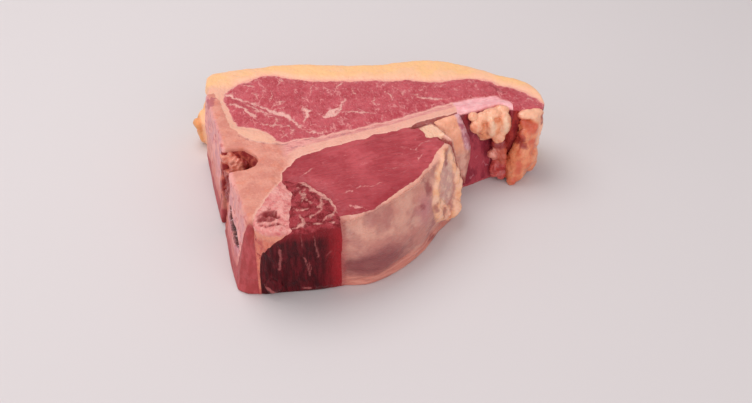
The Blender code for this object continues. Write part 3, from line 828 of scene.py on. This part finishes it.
# ---------------------------------------------------------------------------------------------
# T-bone: the sawn half of a back bone with its long side blade. Damp tan bone with red marrow
# showing through, pale hard rims, and the open spinal canal dark with blood.
# ---------------------------------------------------------------------------------------------
CANAL_RIM = (
    (-104, -10), (-98, -12), (-90, -14), (-87, -19), (-84, -25), (-84, -30), (-87, -35),
    (-92, -37), (-97, -37), (-104, -38),
)
BONE_STREAKS = (
    (0.8, ((-91, -1), (-84, -9), (-76, -14), (-70, -16))),
    (0.7, ((-72, -16), (-66, -18), (-62, -17))),
    (0.7, ((-92, 25), (-93, 18))), (0.5, ((-64, -23), (-58, -23), (-53, -24))),
    (0.5, ((-58, -18), (-48, -18), (-44, -18))), (0.5, ((-40, -20), (-30, -19), (-22, -18))),
    (0.4, ((-17, -17), (-8, -16), (-2, -16))),
)
BRUISED_TIP = (-101.5, 41.0, 54.0)
# Cleft at the bone's front corner: dark red painted in it, red flesh with painted shade over it.
SHADED_CLEFT = (-100, -87, 48)
BONE_OUTLINE = (BONE_BESIDE_FAT + ((-52, -16),) + BLADE_BACK + BLADE_FRONT
                + BONE_BESIDE_CHINE_FAT[1:] + ((-101, -125), (-140, -125), (-140, 50)))


def bone_finish():
    look = Finish("sawn_bone", 0.5, 0.25, 0.06, 0.08)
    look.ground(paint(212, 132, 116), paint(224, 148, 130), look.mottle(9.0))
    look.lay(paint(226, 134, 108), look.mottle(6.0, 0.5, 0.68), 0.5)
    look.lay(paint(204, 116, 106), look.mottle(1.5, 0.54, 0.72), 0.25)
    look.lay(paint(238, 172, 152), look.mottle((2.2, 1.4, 2.0), 0.56, 0.7), 0.4)
    blade = look.near("blade", 1.0, 6.0, 3.0, 0.3)
    look.lay(paint(240, 178, 160), blade, 0.8)
    back_half = look.near("across", 4.0, 5.6, 1.2, 0.25)
    upper = look.times(blade, back_half)
    look.lay(paint(232, 156, 150), upper, 0.85)
    marrow = look.mottle((6.0, 1.1, 3.0), 0.44, 0.6)
    look.lay(paint(206, 116, 118), look.times(upper, marrow), 0.7)
    look.lay(paint(214, 140, 128), look.times(blade, look.mottle((9.0, 1.2, 3.0), 0.56, 0.66)),
             0.45)
    dark = look.near("vein", -0.5, 0.5, 1.4, 0.8)
    look.lay(paint(160, 98, 100), dark, 0.6)
    rim = look.near("side", 0.2, 2.0, 1.6, 0.5)
    look.lay(paint(242, 182, 164), rim, 0.7)
    sawn = look.over(paint(238, 164, 156), paint(216, 146, 152), look.mottle(7.0))
    sawn = look.over(sawn, paint(196, 92, 96), look.mottle((3.0, 4.0, 3.0), 0.52, 0.66), 0.8)
    sawn = look.over(sawn, paint(190, 128, 142), look.mottle((8.0, 9.0, 8.0), 0.54, 0.66), 0.6)
    raw = look.near("raw", 14.0, 26.0, 12.0, 0.15)
    sawn = look.over(sawn, paint(196, 92, 88), raw, 0.75)
    face = look.near("sawn", 0.0, 3.0, 1.5, 0.4)
    look.lay(sawn, face)
    tip = look.near("tip", 0.0, 4.0, 3.0, 0.4)
    look.lay(paint(176, 84, 96), tip, 0.7)
    flesh = look.over(paint(184, 76, 80), paint(166, 60, 62), look.mottle((4.0, 4.0, 9.0)))
    front = look.near("front", 1.0, -2.0, 3.0, 0.4)
    look.lay(flesh, front)
    # Red flesh with painted shade in the cleft at the front corner.
    cleft = look.near("cleft", -0.5, 1.0, 1.2, 0.4)
    look.lay(paint(164, 54, 48), cleft, 0.75)
    blood = look.near("canal", 0.0, 1.4, 1.4, 0.6)
    wet = look.over(paint(150, 44, 44), paint(206, 104, 86), look.mottle(5.0, 0.44, 0.62))
    look.lay(wet, blood)
    # Inside the slit: painted shade, near black-red, with specks painted as glints.
    shaded_slit = look.near("slit", -0.4, 0.8, 1.4, 0.5)
    inside = look.over(paint(66, 12, 18), paint(222, 186, 190), look.mottle(2.2, 0.6, 0.66))
    look.lay(inside, shaded_slit, 0.96)
    relief = look.mottle((1.6, 1.6, 1.6), 0.3, 0.7)
    return look.finished(relief, 0.14)


t_bone = part("sawn_t_bone", BONE_OUTLINE)
mark(t_bone, BONE_STREAKS, ((-90, 1), (-83, -9), (-75, -14), (-65, -16)) + BLADE_BACK
     + BLADE_FRONT + BONE_BESIDE_CHINE_FAT)
bone_points = plan_points(t_bone)
bone_depth = THICK - bone_points[:, 2]
from_back = distance_to(bone_points, ((-65, -16),) + BLADE_BACK)
from_front = distance_to(bone_points, BLADE_FRONT[:10])
# Across the blade from its back to its front, and along the bone out of the blade, 0 to 10.
store(t_bone, "across", 10.0 * from_back / (from_back + from_front + 0.01))
store(t_bone, "blade", ease(bone_points[:, 0], -58.0, -80.0) * 10.0)
store(t_bone, "sawn", np.where(bone_points[:, 0] < -99.0,
                               bone_points[:, 0] + 103.5 + 0.14 * bone_depth, NO_MARK))
store(t_bone, "raw", bone_points[:, 2])
store(t_bone, "tip", 8.0 - 16.0 * hollow(ragged(bone_points), BRUISED_TIP, (6.5, 9.0, 9.0)))
store(t_bone, "front", bone_depth - 3.0 - 40.0 * ease(bone_points[:, 1], -84.0, -74.0))
store(t_bone, "cleft", 1.0 - 1.8 * hollow(ragged(bone_points), SHADED_CLEFT, (6.5, 7.0, 12.0)))
canal_gap = distance_to(bone_points, CANAL_RIM)
inside_canal = ((bone_points[:, 0] < -83.0) & (bone_points[:, 1] < -9.5)
                & (bone_points[:, 1] > -38.5) & (bone_depth > 2.0))
store(t_bone, "canal", np.where(inside_canal, canal_gap - 6.0, NO_MARK))
store(t_bone, "slit", slit_gap(bone_points))
finish_piece(t_bone, bone_finish(), "t_bone")


# ---------------------------------------------------------------------------------------------
# Cartilage tip at the end of the bone's blade: smooth, rosy and almost pearly.
# ---------------------------------------------------------------------------------------------
def cartilage_finish():
    look = Finish("cartilage", 0.4, 0.4, 0.15, 0.1)
    look.ground(paint(250, 184, 186), paint(242, 168, 172), look.mottle(6.0))
    look.lay(paint(230, 136, 144), look.mottle((9.0, 1.4, 2.0), 0.52, 0.68), 0.6)
    rim = look.near("side", 0.2, 1.6, 1.2, 0.5)
    look.lay(paint(222, 120, 126), rim, 0.5)
    # Its walls under the cut face: dark red, red flesh with painted shade where the suet hangs over
    # them.
    raw = look.over(paint(180, 54, 66), paint(140, 34, 46), look.mottle(6.0))
    look.lay(raw, look.near("depth", 2.2, 1.0, 1.6, 0.5))
    return look.finished(look.mottle((8.0, 1.6, 2.5), 0.3, 0.7), 0.2)


cartilage = part("blade_cartilage", CARTILAGE, low=CARTILAGE_FLOOR)
cartilage_points = plan_points(cartilage)
store(cartilage, "side", distance_to(settle(cartilage_points), CARTILAGE[:6]))
store(cartilage, "depth", THICK - cartilage_points[:, 2])
finish_piece(cartilage, cartilage_finish(), "cartilage_tip")


# ---------------------------------------------------------------------------------------------
# Back fat: a thick firm cap, yellow-orange at its skin side and paler and pinker towards the
# lean, running round the corner and under the chine muscle as a thin layer.
# ---------------------------------------------------------------------------------------------
def back_fat_finish():
    look = Finish("back_fat", 0.45, 0.3, 0.06, 0.15)
    look.ground(paint(250, 192, 138), paint(248, 190, 150), look.mottle(16.0))
    look.lay(paint(244, 180, 134), look.mottle((5.0, 5.0, 3.0), 0.5, 0.7), 0.4)
    inner = look.near("side", 1.0, 8.0, 4.0, 0.25)
    look.lay(paint(246, 184, 158), inner, 0.8)
    blush = look.near("side", 0.2, 2.4, 2.0, 0.5)
    look.lay(paint(236, 160, 146), blush, 0.8)
    left = look.near("corner", 0.0, 8.0, 6.0, 0.2)
    look.lay(paint(238, 174, 152), left, 0.85)
    look.lay(paint(228, 150, 124), look.mottle(2.6, 0.62, 0.74), 0.2)
    # Painted shade, a deeper orange, on the lower outer side of the fat's tongue at the corner.
    flap_shade = look.near("flap_shade", 0.0, 2.5, 1.5, 0.3)
    look.lay(paint(226, 146, 84), flap_shade, 0.8)
    return look.finished(look.mottle((3.0, 3.0, 2.0), 0.3, 0.7), 0.16)


FAT_OUTLINE = (FAT_SEAM[:-1] + CHINE_MUSCLE_LEFT + BONE_BESIDE_FAT[::-1][1:]
               + ((-125, 50), (-125, 110), (0, 110), (135, 60), (135, -24)))
back_fat = part("back_fat_cap", FAT_OUTLINE)
fat_points = plan_points(back_fat)
store(back_fat, "side", distance_to(fat_points, FAT_SEAM + CHINE_MUSCLE_LEFT))
fat_x, fat_y, fat_z = fat_points.T
store(back_fat, "corner", np.where(fat_y < 50.0, np.maximum(fat_x + 66.0, 0.0),
                                   fat_y - 50.0 + 0.5 * (fat_x + 88.0)))
# The lower outer side of the fat's corner tongue, where shade is painted.
store(back_fat, "flap_shade", fat_x + 108.0 + NO_MARK * ease(fat_z, 26.0, 34.0))
finish_piece(back_fat, back_fat_finish(), "fat_cap")


# ---------------------------------------------------------------------------------------------
# Chine fat, pink fat and gristle over the front of the back bone, with a pit and a fold in its
# cut face and raw red flesh down its outer face.
# ---------------------------------------------------------------------------------------------
def chine_fat_finish():
    look = Finish("chine_fat", 0.42, 0.3, 0.1, 0.1)
    look.ground(paint(234, 158, 150), paint(224, 132, 128), look.mottle(5.0))
    look.lay(paint(196, 74, 80), look.mottle(4.0, 0.5, 0.7), 0.6)
    web = look.threads((5.0, 5.6, 5.0), 0.2, 0.46)
    look.lay(paint(240, 176, 166), web, 0.35)
    flesh = look.over(paint(224, 128, 106), paint(200, 92, 84), look.mottle((5.0, 5.0, 9.0)))
    flesh = look.over(flesh, paint(214, 84, 66), look.mottle((4.0, 4.0, 3.0), 0.56, 0.7), 0.6)
    lip = look.near("face", 3.0, 8.0, 4.0, 0.3)
    flesh = look.over(flesh, paint(236, 158, 132), lip, 0.7)
    face = look.near("face", 2.0, -1.0, 3.0, 0.4)
    look.lay(flesh, face)
    # Dark red in the pits, stain with painted shade over it, and a painted shadow along the fold.
    pit = look.near("pit", 0.2, 1.0, 0.7, 0.4)
    look.lay(paint(146, 30, 38), pit, 0.9)
    return look.finished(look.mottle(2.0, 0.3, 0.7), 0.35)


CHINE_FAT_TOP = (BONE_BESIDE_CHINE_FAT + ((-101, -125), (-79, -125)) + SIDE_MUSCLE_LEFT[::-1][:-1])
CHINE_FAT_FOOT = (BONE_BESIDE_CHINE_FAT + ((-101, -125), (-99, -125))
                  + SIDE_MUSCLE_LEFT_FOOT[::-1][:-1])
chine_fat = part("pink_chine_fat", CHINE_FAT_TOP, CHINE_FAT_FOOT, SIDE_MUSCLE_BEND)
chine_points = plan_points(chine_fat)
store(chine_fat, "face", THICK - 2.5 - chine_points[:, 2])
torn_chine = ragged(chine_points)
# How dark the pits and the fold are painted: stain and painted shade in the pits, painted shadow
# along the fold.
PIT_STAIN_AND_SHADE = ((2.0, 1.25), (2.0, 1.25), (1.2, 1.8))     # strength, and size against the pit
stain_and_shade = [strength * hollow(torn_chine, centre, np.array(radii) * size)
          for (strength, size), (centre, radii, depth) in zip(PIT_STAIN_AND_SHADE, CHINE_PITS)]
stain_and_shade += [0.7 - 0.7 * ease(distance_to(torn_chine, fold), 0.3, 1.8) for fold in CHINE_FOLDS]
store(chine_fat, "pit", 1.0 - np.maximum.reduce(stain_and_shade))
finish_piece(chine_fat, chine_fat_finish(), "chine_fat")


# ---------------------------------------------------------------------------------------------
# Fillet coat: silverskin over fat down the fillet's outer side. Clouded and half see-through,
# mauve in the middle, beige along the top, and orange torn fat at the right-hand end.
# ---------------------------------------------------------------------------------------------
SKIN_PATCH = (3.8, ((31, 48), (28.5, 38), (27, 26)))
BRUISES = (
    (1.0, ((30, 53), (29, 48))), (1.8, ((11, 47), (12, 44))), (1.6, ((15.5, 31), (17, 27))),
    (1.0, ((4, 40), (6, 38))), (1.8, ((13, 6), (18, 2))), (1.2, ((24, 20), (25, 17))),
)


def coat_finish():
    look = Finish("silverskin_coat", 0.36, 0.3, 0.3, 0.1)
    look.ground(paint(222, 158, 140), paint(206, 136, 122), look.mottle(14.0))
    middle = look.near("height", 26.0, 40.0, 14.0, 0.1)
    look.lay(paint(180, 108, 102), middle, 0.6)
    look.lay(paint(160, 86, 88), look.mottle(18.0, 0.46, 0.62), 0.45)
    cloud = look.mottle((12.0, 12.0, 7.0), 0.5, 0.7)
    look.lay(paint(224, 168, 150), cloud, 0.5)
    thread = look.threads((16.0, 16.0, 4.0), 0.05, 0.55)
    look.lay(paint(230, 176, 162), thread, 0.22)
    foot = look.near("height", 7.0, 13.0, 4.0, 0.2)
    look.lay(paint(212, 124, 108), foot, 0.7)
    hem = look.times(foot, look.mottle((20.0, 20.0, 2.0), 0.5, 0.62))
    look.lay(paint(236, 160, 140), hem, 0.5)
    mauve = look.near("mauve", 1.0, 9.0, 5.0, 0.25)
    look.lay(paint(184, 108, 116), mauve, 0.7)
    # Painted shade: a dark patch low on the coat's left part.
    shade_patch = look.near("shade_patch", 4.0, 14.0, 6.0, 0.2)
    look.lay(paint(132, 58, 62), shade_patch, 0.85)
    silver = look.near("silver", -1.0, 4.0, 3.0, 0.3)
    skin = look.over(paint(228, 182, 164), paint(208, 154, 144), look.mottle(6.0))
    look.lay(skin, silver, 0.95)
    ridge = look.near("ridge", -1.0, 2.4, 4.0, 0.5)
    fat = look.over(paint(252, 194, 166), paint(248, 182, 142), look.mottle(7.0))
    fat = look.over(fat, paint(232, 136, 110), look.mottle(3.4, 0.56, 0.7), 0.4)
    look.lay(fat, ridge)
    bruise = look.near("bruise", -1.4, 1.6, 3.4, 0.5)
    look.lay(paint(146, 46, 52), bruise, 0.7)
    left = look.near("left", 0.0, 5.0, 3.0, 0.3)
    look.lay(paint(172, 66, 66), left, 0.6)
    rim = look.near("rim", 1.4, 5.0, 4.0, 0.5)
    look.lay(paint(236, 168, 148), rim, 0.8)
    # Painted shade, dark red, in the cleft between the fillet's end and the wedge.
    gap = look.near("gap", 1.2, 2.6, 1.4, 0.5)
    look.lay(paint(150, 40, 34), gap, 0.9)
    return look.finished(look.mottle((6.0, 6.0, 2.0), 0.3, 0.7), 0.35)


COAT_OUTLINE = FILLET_EDGE + ((34, -38), (40, -32), (49, -30), (50, -60), (60, -125), (-51, -125))
coat = part("silverskin_coat", COAT_OUTLINE)
coat_points = plan_points(coat)
coat_x, coat_z = coat_points[:, 0], coat_points[:, 2]
# Where each tint and painted shade lies: how far from its middle, its edge or its drawn line.
store(coat, "height", coat_z)
# A dark patch low on the coat's left part, painted as shade.
store(coat, "shade_patch", np.hypot((coat_x + 32.0) * 0.36, coat_z - 18.0))
store(coat, "mauve", np.hypot((coat_x - 7.0) * 0.9, (coat_z - 36.0) * 0.6))
store(coat, "silver", wall_gap(coat_points, (SKIN_PATCH,)))
store(coat, "ridge", wall_gap(coat_points, TORN_RIDGES))
store(coat, "bruise", wall_gap(coat_points, BRUISES))
store(coat, "left", coat_x + 51.0)
store(coat, "rim", distance_to(settle(coat_points), FILLET_EDGE) + 0.5 * (THICK - coat_z)
      + 3.0 * ease(coat_x, -10.0, -30.0))
# The cleft by the wedge, where shade is painted.
store(coat, "gap", distance_to(coat_points, FILLET_GAP) + 6.0 * ease(coat_z, 34.0, 24.0))
finish_piece(coat, coat_finish(), "fillet_coat")


# ---------------------------------------------------------------------------------------------
# Loose fat between the fillet and the flank: a nugget set in the cut face, a soft wedge that
# folds down into the gap, a round lump of suet with its red stem, and the fat under the tail.
# ---------------------------------------------------------------------------------------------
LOOSE_SKIN = 0.5        # size of the lumps' surface cells
EVEN_ROUNDS = 24        # smoothing rounds that level a lump, to find its creases
NUGGET_FAT = ((22.5, -37), (24, -30), (28, -28), (31, -31), (32, -37), (22.5, -37), (28, -33))


def loose_fat_finish(name, light, deep, red, redness, warm_and_shade=None, pale_and_highlight=None):
    """Soft fat: light on swellings, painted shade deeper in its folds, red where blood soaked in.
    """
    look = Finish(name, 0.3, 0.45, 0.4, 0.12)
    look.ground(light, deep, look.mottle(7.0, 0.42, 0.66))
    look.lay(red, look.mottle(4.5, 0.56 - 0.1 * redness, 0.7), redness)
    # A deeper orange along drawn lines: painted shade in the hollows of the suet and tail fat, and
    # real orange-brown streaks on the stem.
    if warm_and_shade:
        look.lay(warm_and_shade, look.near("warm_and_shade", -1.5, 2.5, 3.0, 0.3), 0.85)
    # A lighter colour along drawn lines: painted highlights on the suet's folds, and lighter fat on
    # the stem's tab and the tail's top.
    if pale_and_highlight:
        look.lay(pale_and_highlight, look.near("pale_and_highlight", -1.5, 2.5, 3.0, 0.3), 0.85)
    # Painted shade in the folds: the deeper colour, and red where the folds are deepest.
    look.lay(deep, look.near("crease", 0.7, 0.1, 0.3, 0.4), 0.7)
    look.lay(red, look.near("crease", 1.2, 0.5, 0.3, 0.4), 0.8)
    look.lay(red, look.near("raw", -0.9, 1.8, 3.4, 0.5), 0.9)
    return look.finished(look.mottle(2.2, 0.3, 0.7), 0.3)


def loose(name, lobes, node=None, shrink=1.2, swell=0.5, seed=1.0, soften=3):
    """A loose lump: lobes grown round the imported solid, with creases where they meet."""
    if node is None:
        piece = lobe(name, *lobes[0])
        lobes = lobes[1:]
    else:
        piece = grown_copy(node, name, -shrink)
    for centre, radii in lobes:
        boolean(piece, lobe(name + "_lobe", centre, radii), "UNION")
    reskin(piece, LOOSE_SKIN)
    modifier = piece.modifiers.new("soften", "SMOOTH")
    modifier.iterations = soften
    bake_modifiers(piece)
    points = plan_points(piece)
    facing = normals_of(piece)
    rise = swell * (ripple(points, 5.0, seed) + 0.5 * ripple(points, 2.0, seed + 5.0))
    moved = points + facing * rise[:, None]
    moved[:, 2] = np.maximum(moved[:, 2], 0.0)
    put_points(piece, moved)
    inner = piece.copy()
    inner.data = piece.data.copy()
    bpy.context.scene.collection.objects.link(inner)
    modifier = inner.modifiers.new("even", "SMOOTH")
    modifier.iterations = EVEN_ROUNDS
    bake_modifiers(inner)
    sunk = ((plan_points(inner) - moved) * facing).sum(1)
    bpy.data.objects.remove(inner)
    # How deep each vertex lies in a fold, for the painted shade the finish lays there.
    store(piece, "crease", sunk)
    return piece


# The nugget: firm pale fat, parted from the slab, and red where it meets its neighbours.
nugget = part("nugget_beside_blade",
              NUGGET_EDGE + BLADE_FRONT[:4][::-1] + ((49, -30), (40, -32), (34, -38)))
nugget_points = plan_points(nugget)
store(nugget, "raw", 3.6 - distance_to(nugget_points, NUGGET_FAT))
nugget_fat = loose_fat_finish("nugget_fat", light=paint(246, 190, 160), deep=paint(240, 178, 146),
                              red=paint(150, 36, 40), redness=0.0)
finish_piece(nugget, nugget_fat, "fat_nugget")

# The wedge: it folds down beside the fillet and narrows to a red toe.
WEDGE_RIGHT = 52.0      # the side that stays put as the wedge narrows downwards
wedge = loose("folded_fat_wedge", (), "fat_wedge", shrink=-0.1, swell=0.4, seed=3.3, soften=2)
wedge_points = plan_points(wedge)
wedge_z = wedge_points[:, 2]
narrowing = 0.4 + 0.6 * ease(wedge_z, 8.0, 34.0)
wedge_points[:, 0] = WEDGE_RIGHT + (wedge_points[:, 0] - WEDGE_RIGHT) * narrowing
put_points(wedge, wedge_points)
wedge_x = wedge_points[:, 0]
store(wedge, "raw", np.where(wedge_z < 34.0, wedge_x - 43.5 + 0.1 * wedge_z, NO_MARK))
store(wedge, "veil", 49.5 + 0.16 * (THICK - wedge_z) - wedge_x
      + NO_MARK * ease(wedge_z, 36.0, 26.0))
store(wedge, "height", wedge_z)


def wedge_finish():
    """Firm fat above, a mauve skin along its right edge, and clouded skin lower down."""
    look = Finish("wedge_fat", 0.38, 0.3, 0.12, 0.12)
    look.ground(paint(250, 176, 146), paint(240, 162, 130), look.mottle(7.0))
    low = look.near("height", 30.0, 40.0, 5.0, 0.2)
    skin = look.over(paint(226, 168, 150), paint(206, 140, 128), look.mottle(6.0))
    look.lay(skin, low)
    veil = look.near("veil", 0.0, 2.4, 2.0, 0.3)
    mauve = look.over(paint(224, 168, 174), paint(186, 110, 124), look.mottle(5.0))
    look.lay(mauve, veil)
    raw = look.near("raw", -1.0, 0.6, 1.5, 0.4)
    look.lay(paint(186, 88, 66), raw, 0.85)
    toe = look.near("height", 11.0, 17.0, 5.0, 0.3)
    look.lay(paint(158, 60, 58), toe, 0.8)
    return look.finished(look.mottle(2.6, 0.3, 0.7), 0.3)


finish_piece(wedge, wedge_finish(), "fat_wedge")

# The suet: one round lump of smooth lobes, with painted highlights and shade between them.
SUET_LOBES = (
    ((60, -22, 52), (3.6, 3.4, 3.0)), ((61.5, -26, 46.5), (4.6, 4.2, 4.2)),
    ((67, -23, 50.5), (5.0, 4.4, 4.0)), ((74, -22, 52), (7.0, 5.0, 3.2)),
    ((80.5, -20.5, 52), (5.6, 4.6, 3.4)), ((71, -27.5, 45), (2.9, 3.4, 8.0)),
    ((66.5, -24.5, 43), (3.4, 3.2, 5.0)), ((81, -25.5, 44.5), (4.9, 5.0, 9.0)),
    ((77.5, -26.5, 35.5), (4.6, 4.4, 5.0)),
)
# Lines in the hollows between the suet's lobes where shade is painted, a deeper orange.
SUET_SHADED_HOLLOWS = ((1.8, ((66, 48), (67.5, 38))), (1.6, ((75.5, 49), (75.5, 41))))
# Lines along the suet's folds where highlights are painted.
SUET_HIGHLIGHT_FOLDS = ((1.2, ((71, 51), (71.5, 40))), (1.6, ((81, 50), (81.5, 41))))
suet = loose("suet_lobes", SUET_LOBES, "suet_lump", shrink=3.4, swell=0.5, seed=8.8, soften=6)
suet_points = plan_points(suet)
store(suet, "raw", np.full(len(suet_points), NO_MARK))
store(suet, "warm_and_shade", wall_gap(suet_points, SUET_SHADED_HOLLOWS))
store(suet, "pale_and_highlight", wall_gap(suet_points, SUET_HIGHLIGHT_FOLDS))
suet_fat = loose_fat_finish("suet", light=paint(250, 180, 146), deep=paint(236, 148, 114),
                            red=paint(214, 116, 86), redness=0.15,
                            warm_and_shade=paint(238, 150, 106), pale_and_highlight=paint(255, 212, 180))
finish_piece(suet, suet_fat, "suet_lump")

# Its stem: a stringy red strand that hangs from the lump.
STEM_LOBES = (
    ((79, -27, 27), (5.0, 3.6, 7)), ((80.5, -28, 20), (3.4, 3.6, 12)),
    ((83, -27.5, 9), (3.0, 3.6, 7)),
    ((76, -28, 9), (3.4, 3.4, 6)), ((80.5, -29, 5), (4.6, 3.6, 4)),
    ((72.8, -28.5, 24), (3.0, 3.0, 3.2)), ((75.5, -27.5, 21), (3.0, 3.0, 3.4)),
    ((76.5, -26.5, 30), (4.0, 3.6, 4.0)),
)
stem = loose("red_suet_stem", STEM_LOBES, "suet_stem", shrink=2.2, swell=1.1, seed=14.0,
             soften=6)
stem_points = plan_points(stem)
stem_foot = NO_MARK * ease(stem_points[:, 2], 18.0, 12.0)
store(stem, "raw", 28.0 - stem_points[:, 2])
store(stem, "warm_and_shade", 76.5 - stem_points[:, 0] + stem_foot)
store(stem, "pale_and_highlight", stem_points[:, 0] - 75.0 + stem_foot)
stem_flesh = loose_fat_finish("stem_flesh", light=paint(208, 90, 84), deep=paint(180, 52, 52),
                              red=paint(150, 38, 42), redness=0.5,
                              warm_and_shade=paint(198, 90, 66), pale_and_highlight=paint(240, 160, 142))
finish_piece(stem, stem_flesh, "suet_stem")

# The tail fat: a pad at the cut face, with a soft lobed end that hangs below it.
TAIL_LOBES = (
    ((94.5, -31.5, 37), (4.8, 4.8, 5.6)), ((104, -28.5, 40), (3.4, 4.2, 13)),
    ((95.5, -32, 17.5), (7.2, 6.4, 8.6)), ((90, -33, 8), (5.8, 5.2, 7.6)),
    ((100.5, -30, 17), (5.2, 5.0, 13)), ((86.3, -35, 3), (3.4, 3.2, 4.6)),
    ((101, -28.5, 29), (5.2, 4.8, 8)), ((98, -28, 50.6), (9.6, 4.4, 3.2)),
)
TAIL_FLESH = ((3.6, ((85.5, 54), (86, 44), (88, 34))), (1.0, ((88, 32), (93, 30))),
              (0.4, ((106, 50), (106, 44))))
# Lines in the tail fat's hollows where shade is painted, a deeper orange-red.
TAIL_SHADED_HOLLOWS = ((3.2, ((91, 48), (96, 45), (101, 42))), (1.8, ((89, 17), (89, 12))),
                (1.2, ((97, 31), (101, 33))), (1.5, ((87, 4), (88, 0))))
TAIL_DENT = (95.5, -33, 46)
tail_fat = loose("soft_tail_fat", TAIL_LOBES, "tail_fat", shrink=1.6, swell=0.6, seed=19.0,
                 soften=8)
tail_points = plan_points(tail_fat)
tail_points[:, 1] += 3.0 * hollow(tail_points, TAIL_DENT, (7.0, 8.0, 4.5))
put_points(tail_fat, tail_points)
tail_x, tail_z = tail_points[:, 0], tail_points[:, 2]
store(tail_fat, "raw", wall_gap(tail_points, TAIL_FLESH))
store(tail_fat, "warm_and_shade", wall_gap(tail_points, TAIL_SHADED_HOLLOWS))
store(tail_fat, "pale_and_highlight", np.minimum(52.5 - 0.35 * (tail_x - 88.0) - tail_z,
                                   102.5 - tail_x + NO_MARK * ease(tail_z, 30.0, 20.0)))
pad_fat = loose_fat_finish("tail_fat", light=paint(240, 148, 106), deep=paint(222, 112, 76),
                           red=paint(158, 40, 42), redness=0.15,
                           warm_and_shade=paint(214, 88, 60), pale_and_highlight=paint(250, 188, 156))
finish_piece(tail_fat, pad_fat, "tail_fat")


# ---------------------------------------------------------------------------------------------
# Canal sheath: the orange-pink sheath of the spinal cord and clotted blood, left in the canal.
# It clings to the canal's wall, so the lump runs a little way into the bone.
# ---------------------------------------------------------------------------------------------
SHEATH_LOBES = (
    ((-97, -13, 32), (8, 9, 11)), ((-89, -14, 31), (8, 7, 10)), ((-98.5, -10.5, 45), (5.4, 5, 7)),
    ((-93, -9.5, 46), (4, 4.5, 6)), ((-95.5, -16, 42), (6, 4.4, 7)),
    ((-87.5, -11.5, 43), (4.2, 4.6, 8)), ((-98.5, -23, 33), (5, 6, 8)),
    ((-101, -19, 22), (4, 6, 10)), ((-100, -28, 14), (4, 6, 9)),
)
sheath = loose("canal_sheath", SHEATH_LOBES, swell=2.4, seed=23.0, soften=8)
sheath_points = plan_points(sheath)
store(sheath, "raw", np.minimum(np.abs(sheath_points[:, 0] + 90.5) - 1.5,
                                0.5 * (sheath_points[:, 2] - 38.0)))
clotted = loose_fat_finish("canal_sheath", light=paint(238, 150, 126), deep=paint(214, 106, 88),
                           red=paint(150, 44, 48), redness=0.3)
finish_piece(sheath, clotted, None)

bpy.data.objects.remove(slab)       # every piece is parted from it now


# ---------------------------------------------------------------------------------------------
# Plain floor, soft studio light, and the camera above and in front of the fillet side.
# ---------------------------------------------------------------------------------------------
def plain_floor():
    bm = bmesh.new()
    bmesh.ops.create_grid(bm, x_segments=1, y_segments=1, size=3.0)
    floor = new_object("floor", bm)
    material = bpy.data.materials.new("plain_floor")
    material.use_nodes = True
    surface = material.node_tree.nodes["Principled BSDF"]
    surface.inputs["Base Color"].default_value = paint(218, 209, 210)
    surface.inputs["Roughness"].default_value = 0.9
    floor.data.materials.append(material)


def soft_light(name, place, size, power):
    """White round lamp, aimed at the steak."""
    light = bpy.data.lights.new(name, "AREA")
    light.shape = "DISK"
    light.size = size
    light.energy = power
    lamp = bpy.data.objects.new(name, light)
    lamp.location = place
    lamp.rotation_euler = (-Vector(place)).to_track_quat("-Z", "Y").to_euler()
    bpy.context.scene.collection.objects.link(lamp)


LENS = 50.2                             # mm, on a sensor 36 mm wide
SEEN_FROM = (math.radians(-16.8), math.radians(40.0))      # round from the front, and up
AWAY = 0.700
AIM = Vector((-0.0085, -0.0175, 0.0))


def place_camera():
    data = bpy.data.cameras.new("camera")
    data.lens = LENS
    data.sensor_width = 36.0
    seen = bpy.data.objects.new("camera", data)
    round_by, up_by = SEEN_FROM
    back = Vector((math.sin(round_by) * math.cos(up_by), -math.cos(round_by) * math.cos(up_by),
                   math.sin(up_by)))
    seen.location = AIM + back * AWAY
    seen.rotation_euler = (-back).to_track_quat("-Z", "Y").to_euler()
    bpy.context.scene.collection.objects.link(seen)
    bpy.context.scene.camera = seen


plain_floor()
soft_light("overhead", (-0.25, 0.35, 1.0), 0.8, 5.4)
soft_light("front_fill", (0.1, -1.2, 0.6), 1.6, 7.0)
soft_light("left_fill", (-1.3, -0.2, 0.5), 1.4, 5.0)
world = bpy.data.worlds.new("studio")
world.use_nodes = True
backdrop = world.node_tree.nodes["Background"].inputs
backdrop["Color"].default_value = paint(255, 255, 255)
backdrop["Strength"].default_value = 0.48
bpy.context.scene.world = world
bpy.context.scene.view_settings.view_transform = "Standard"
place_camera()
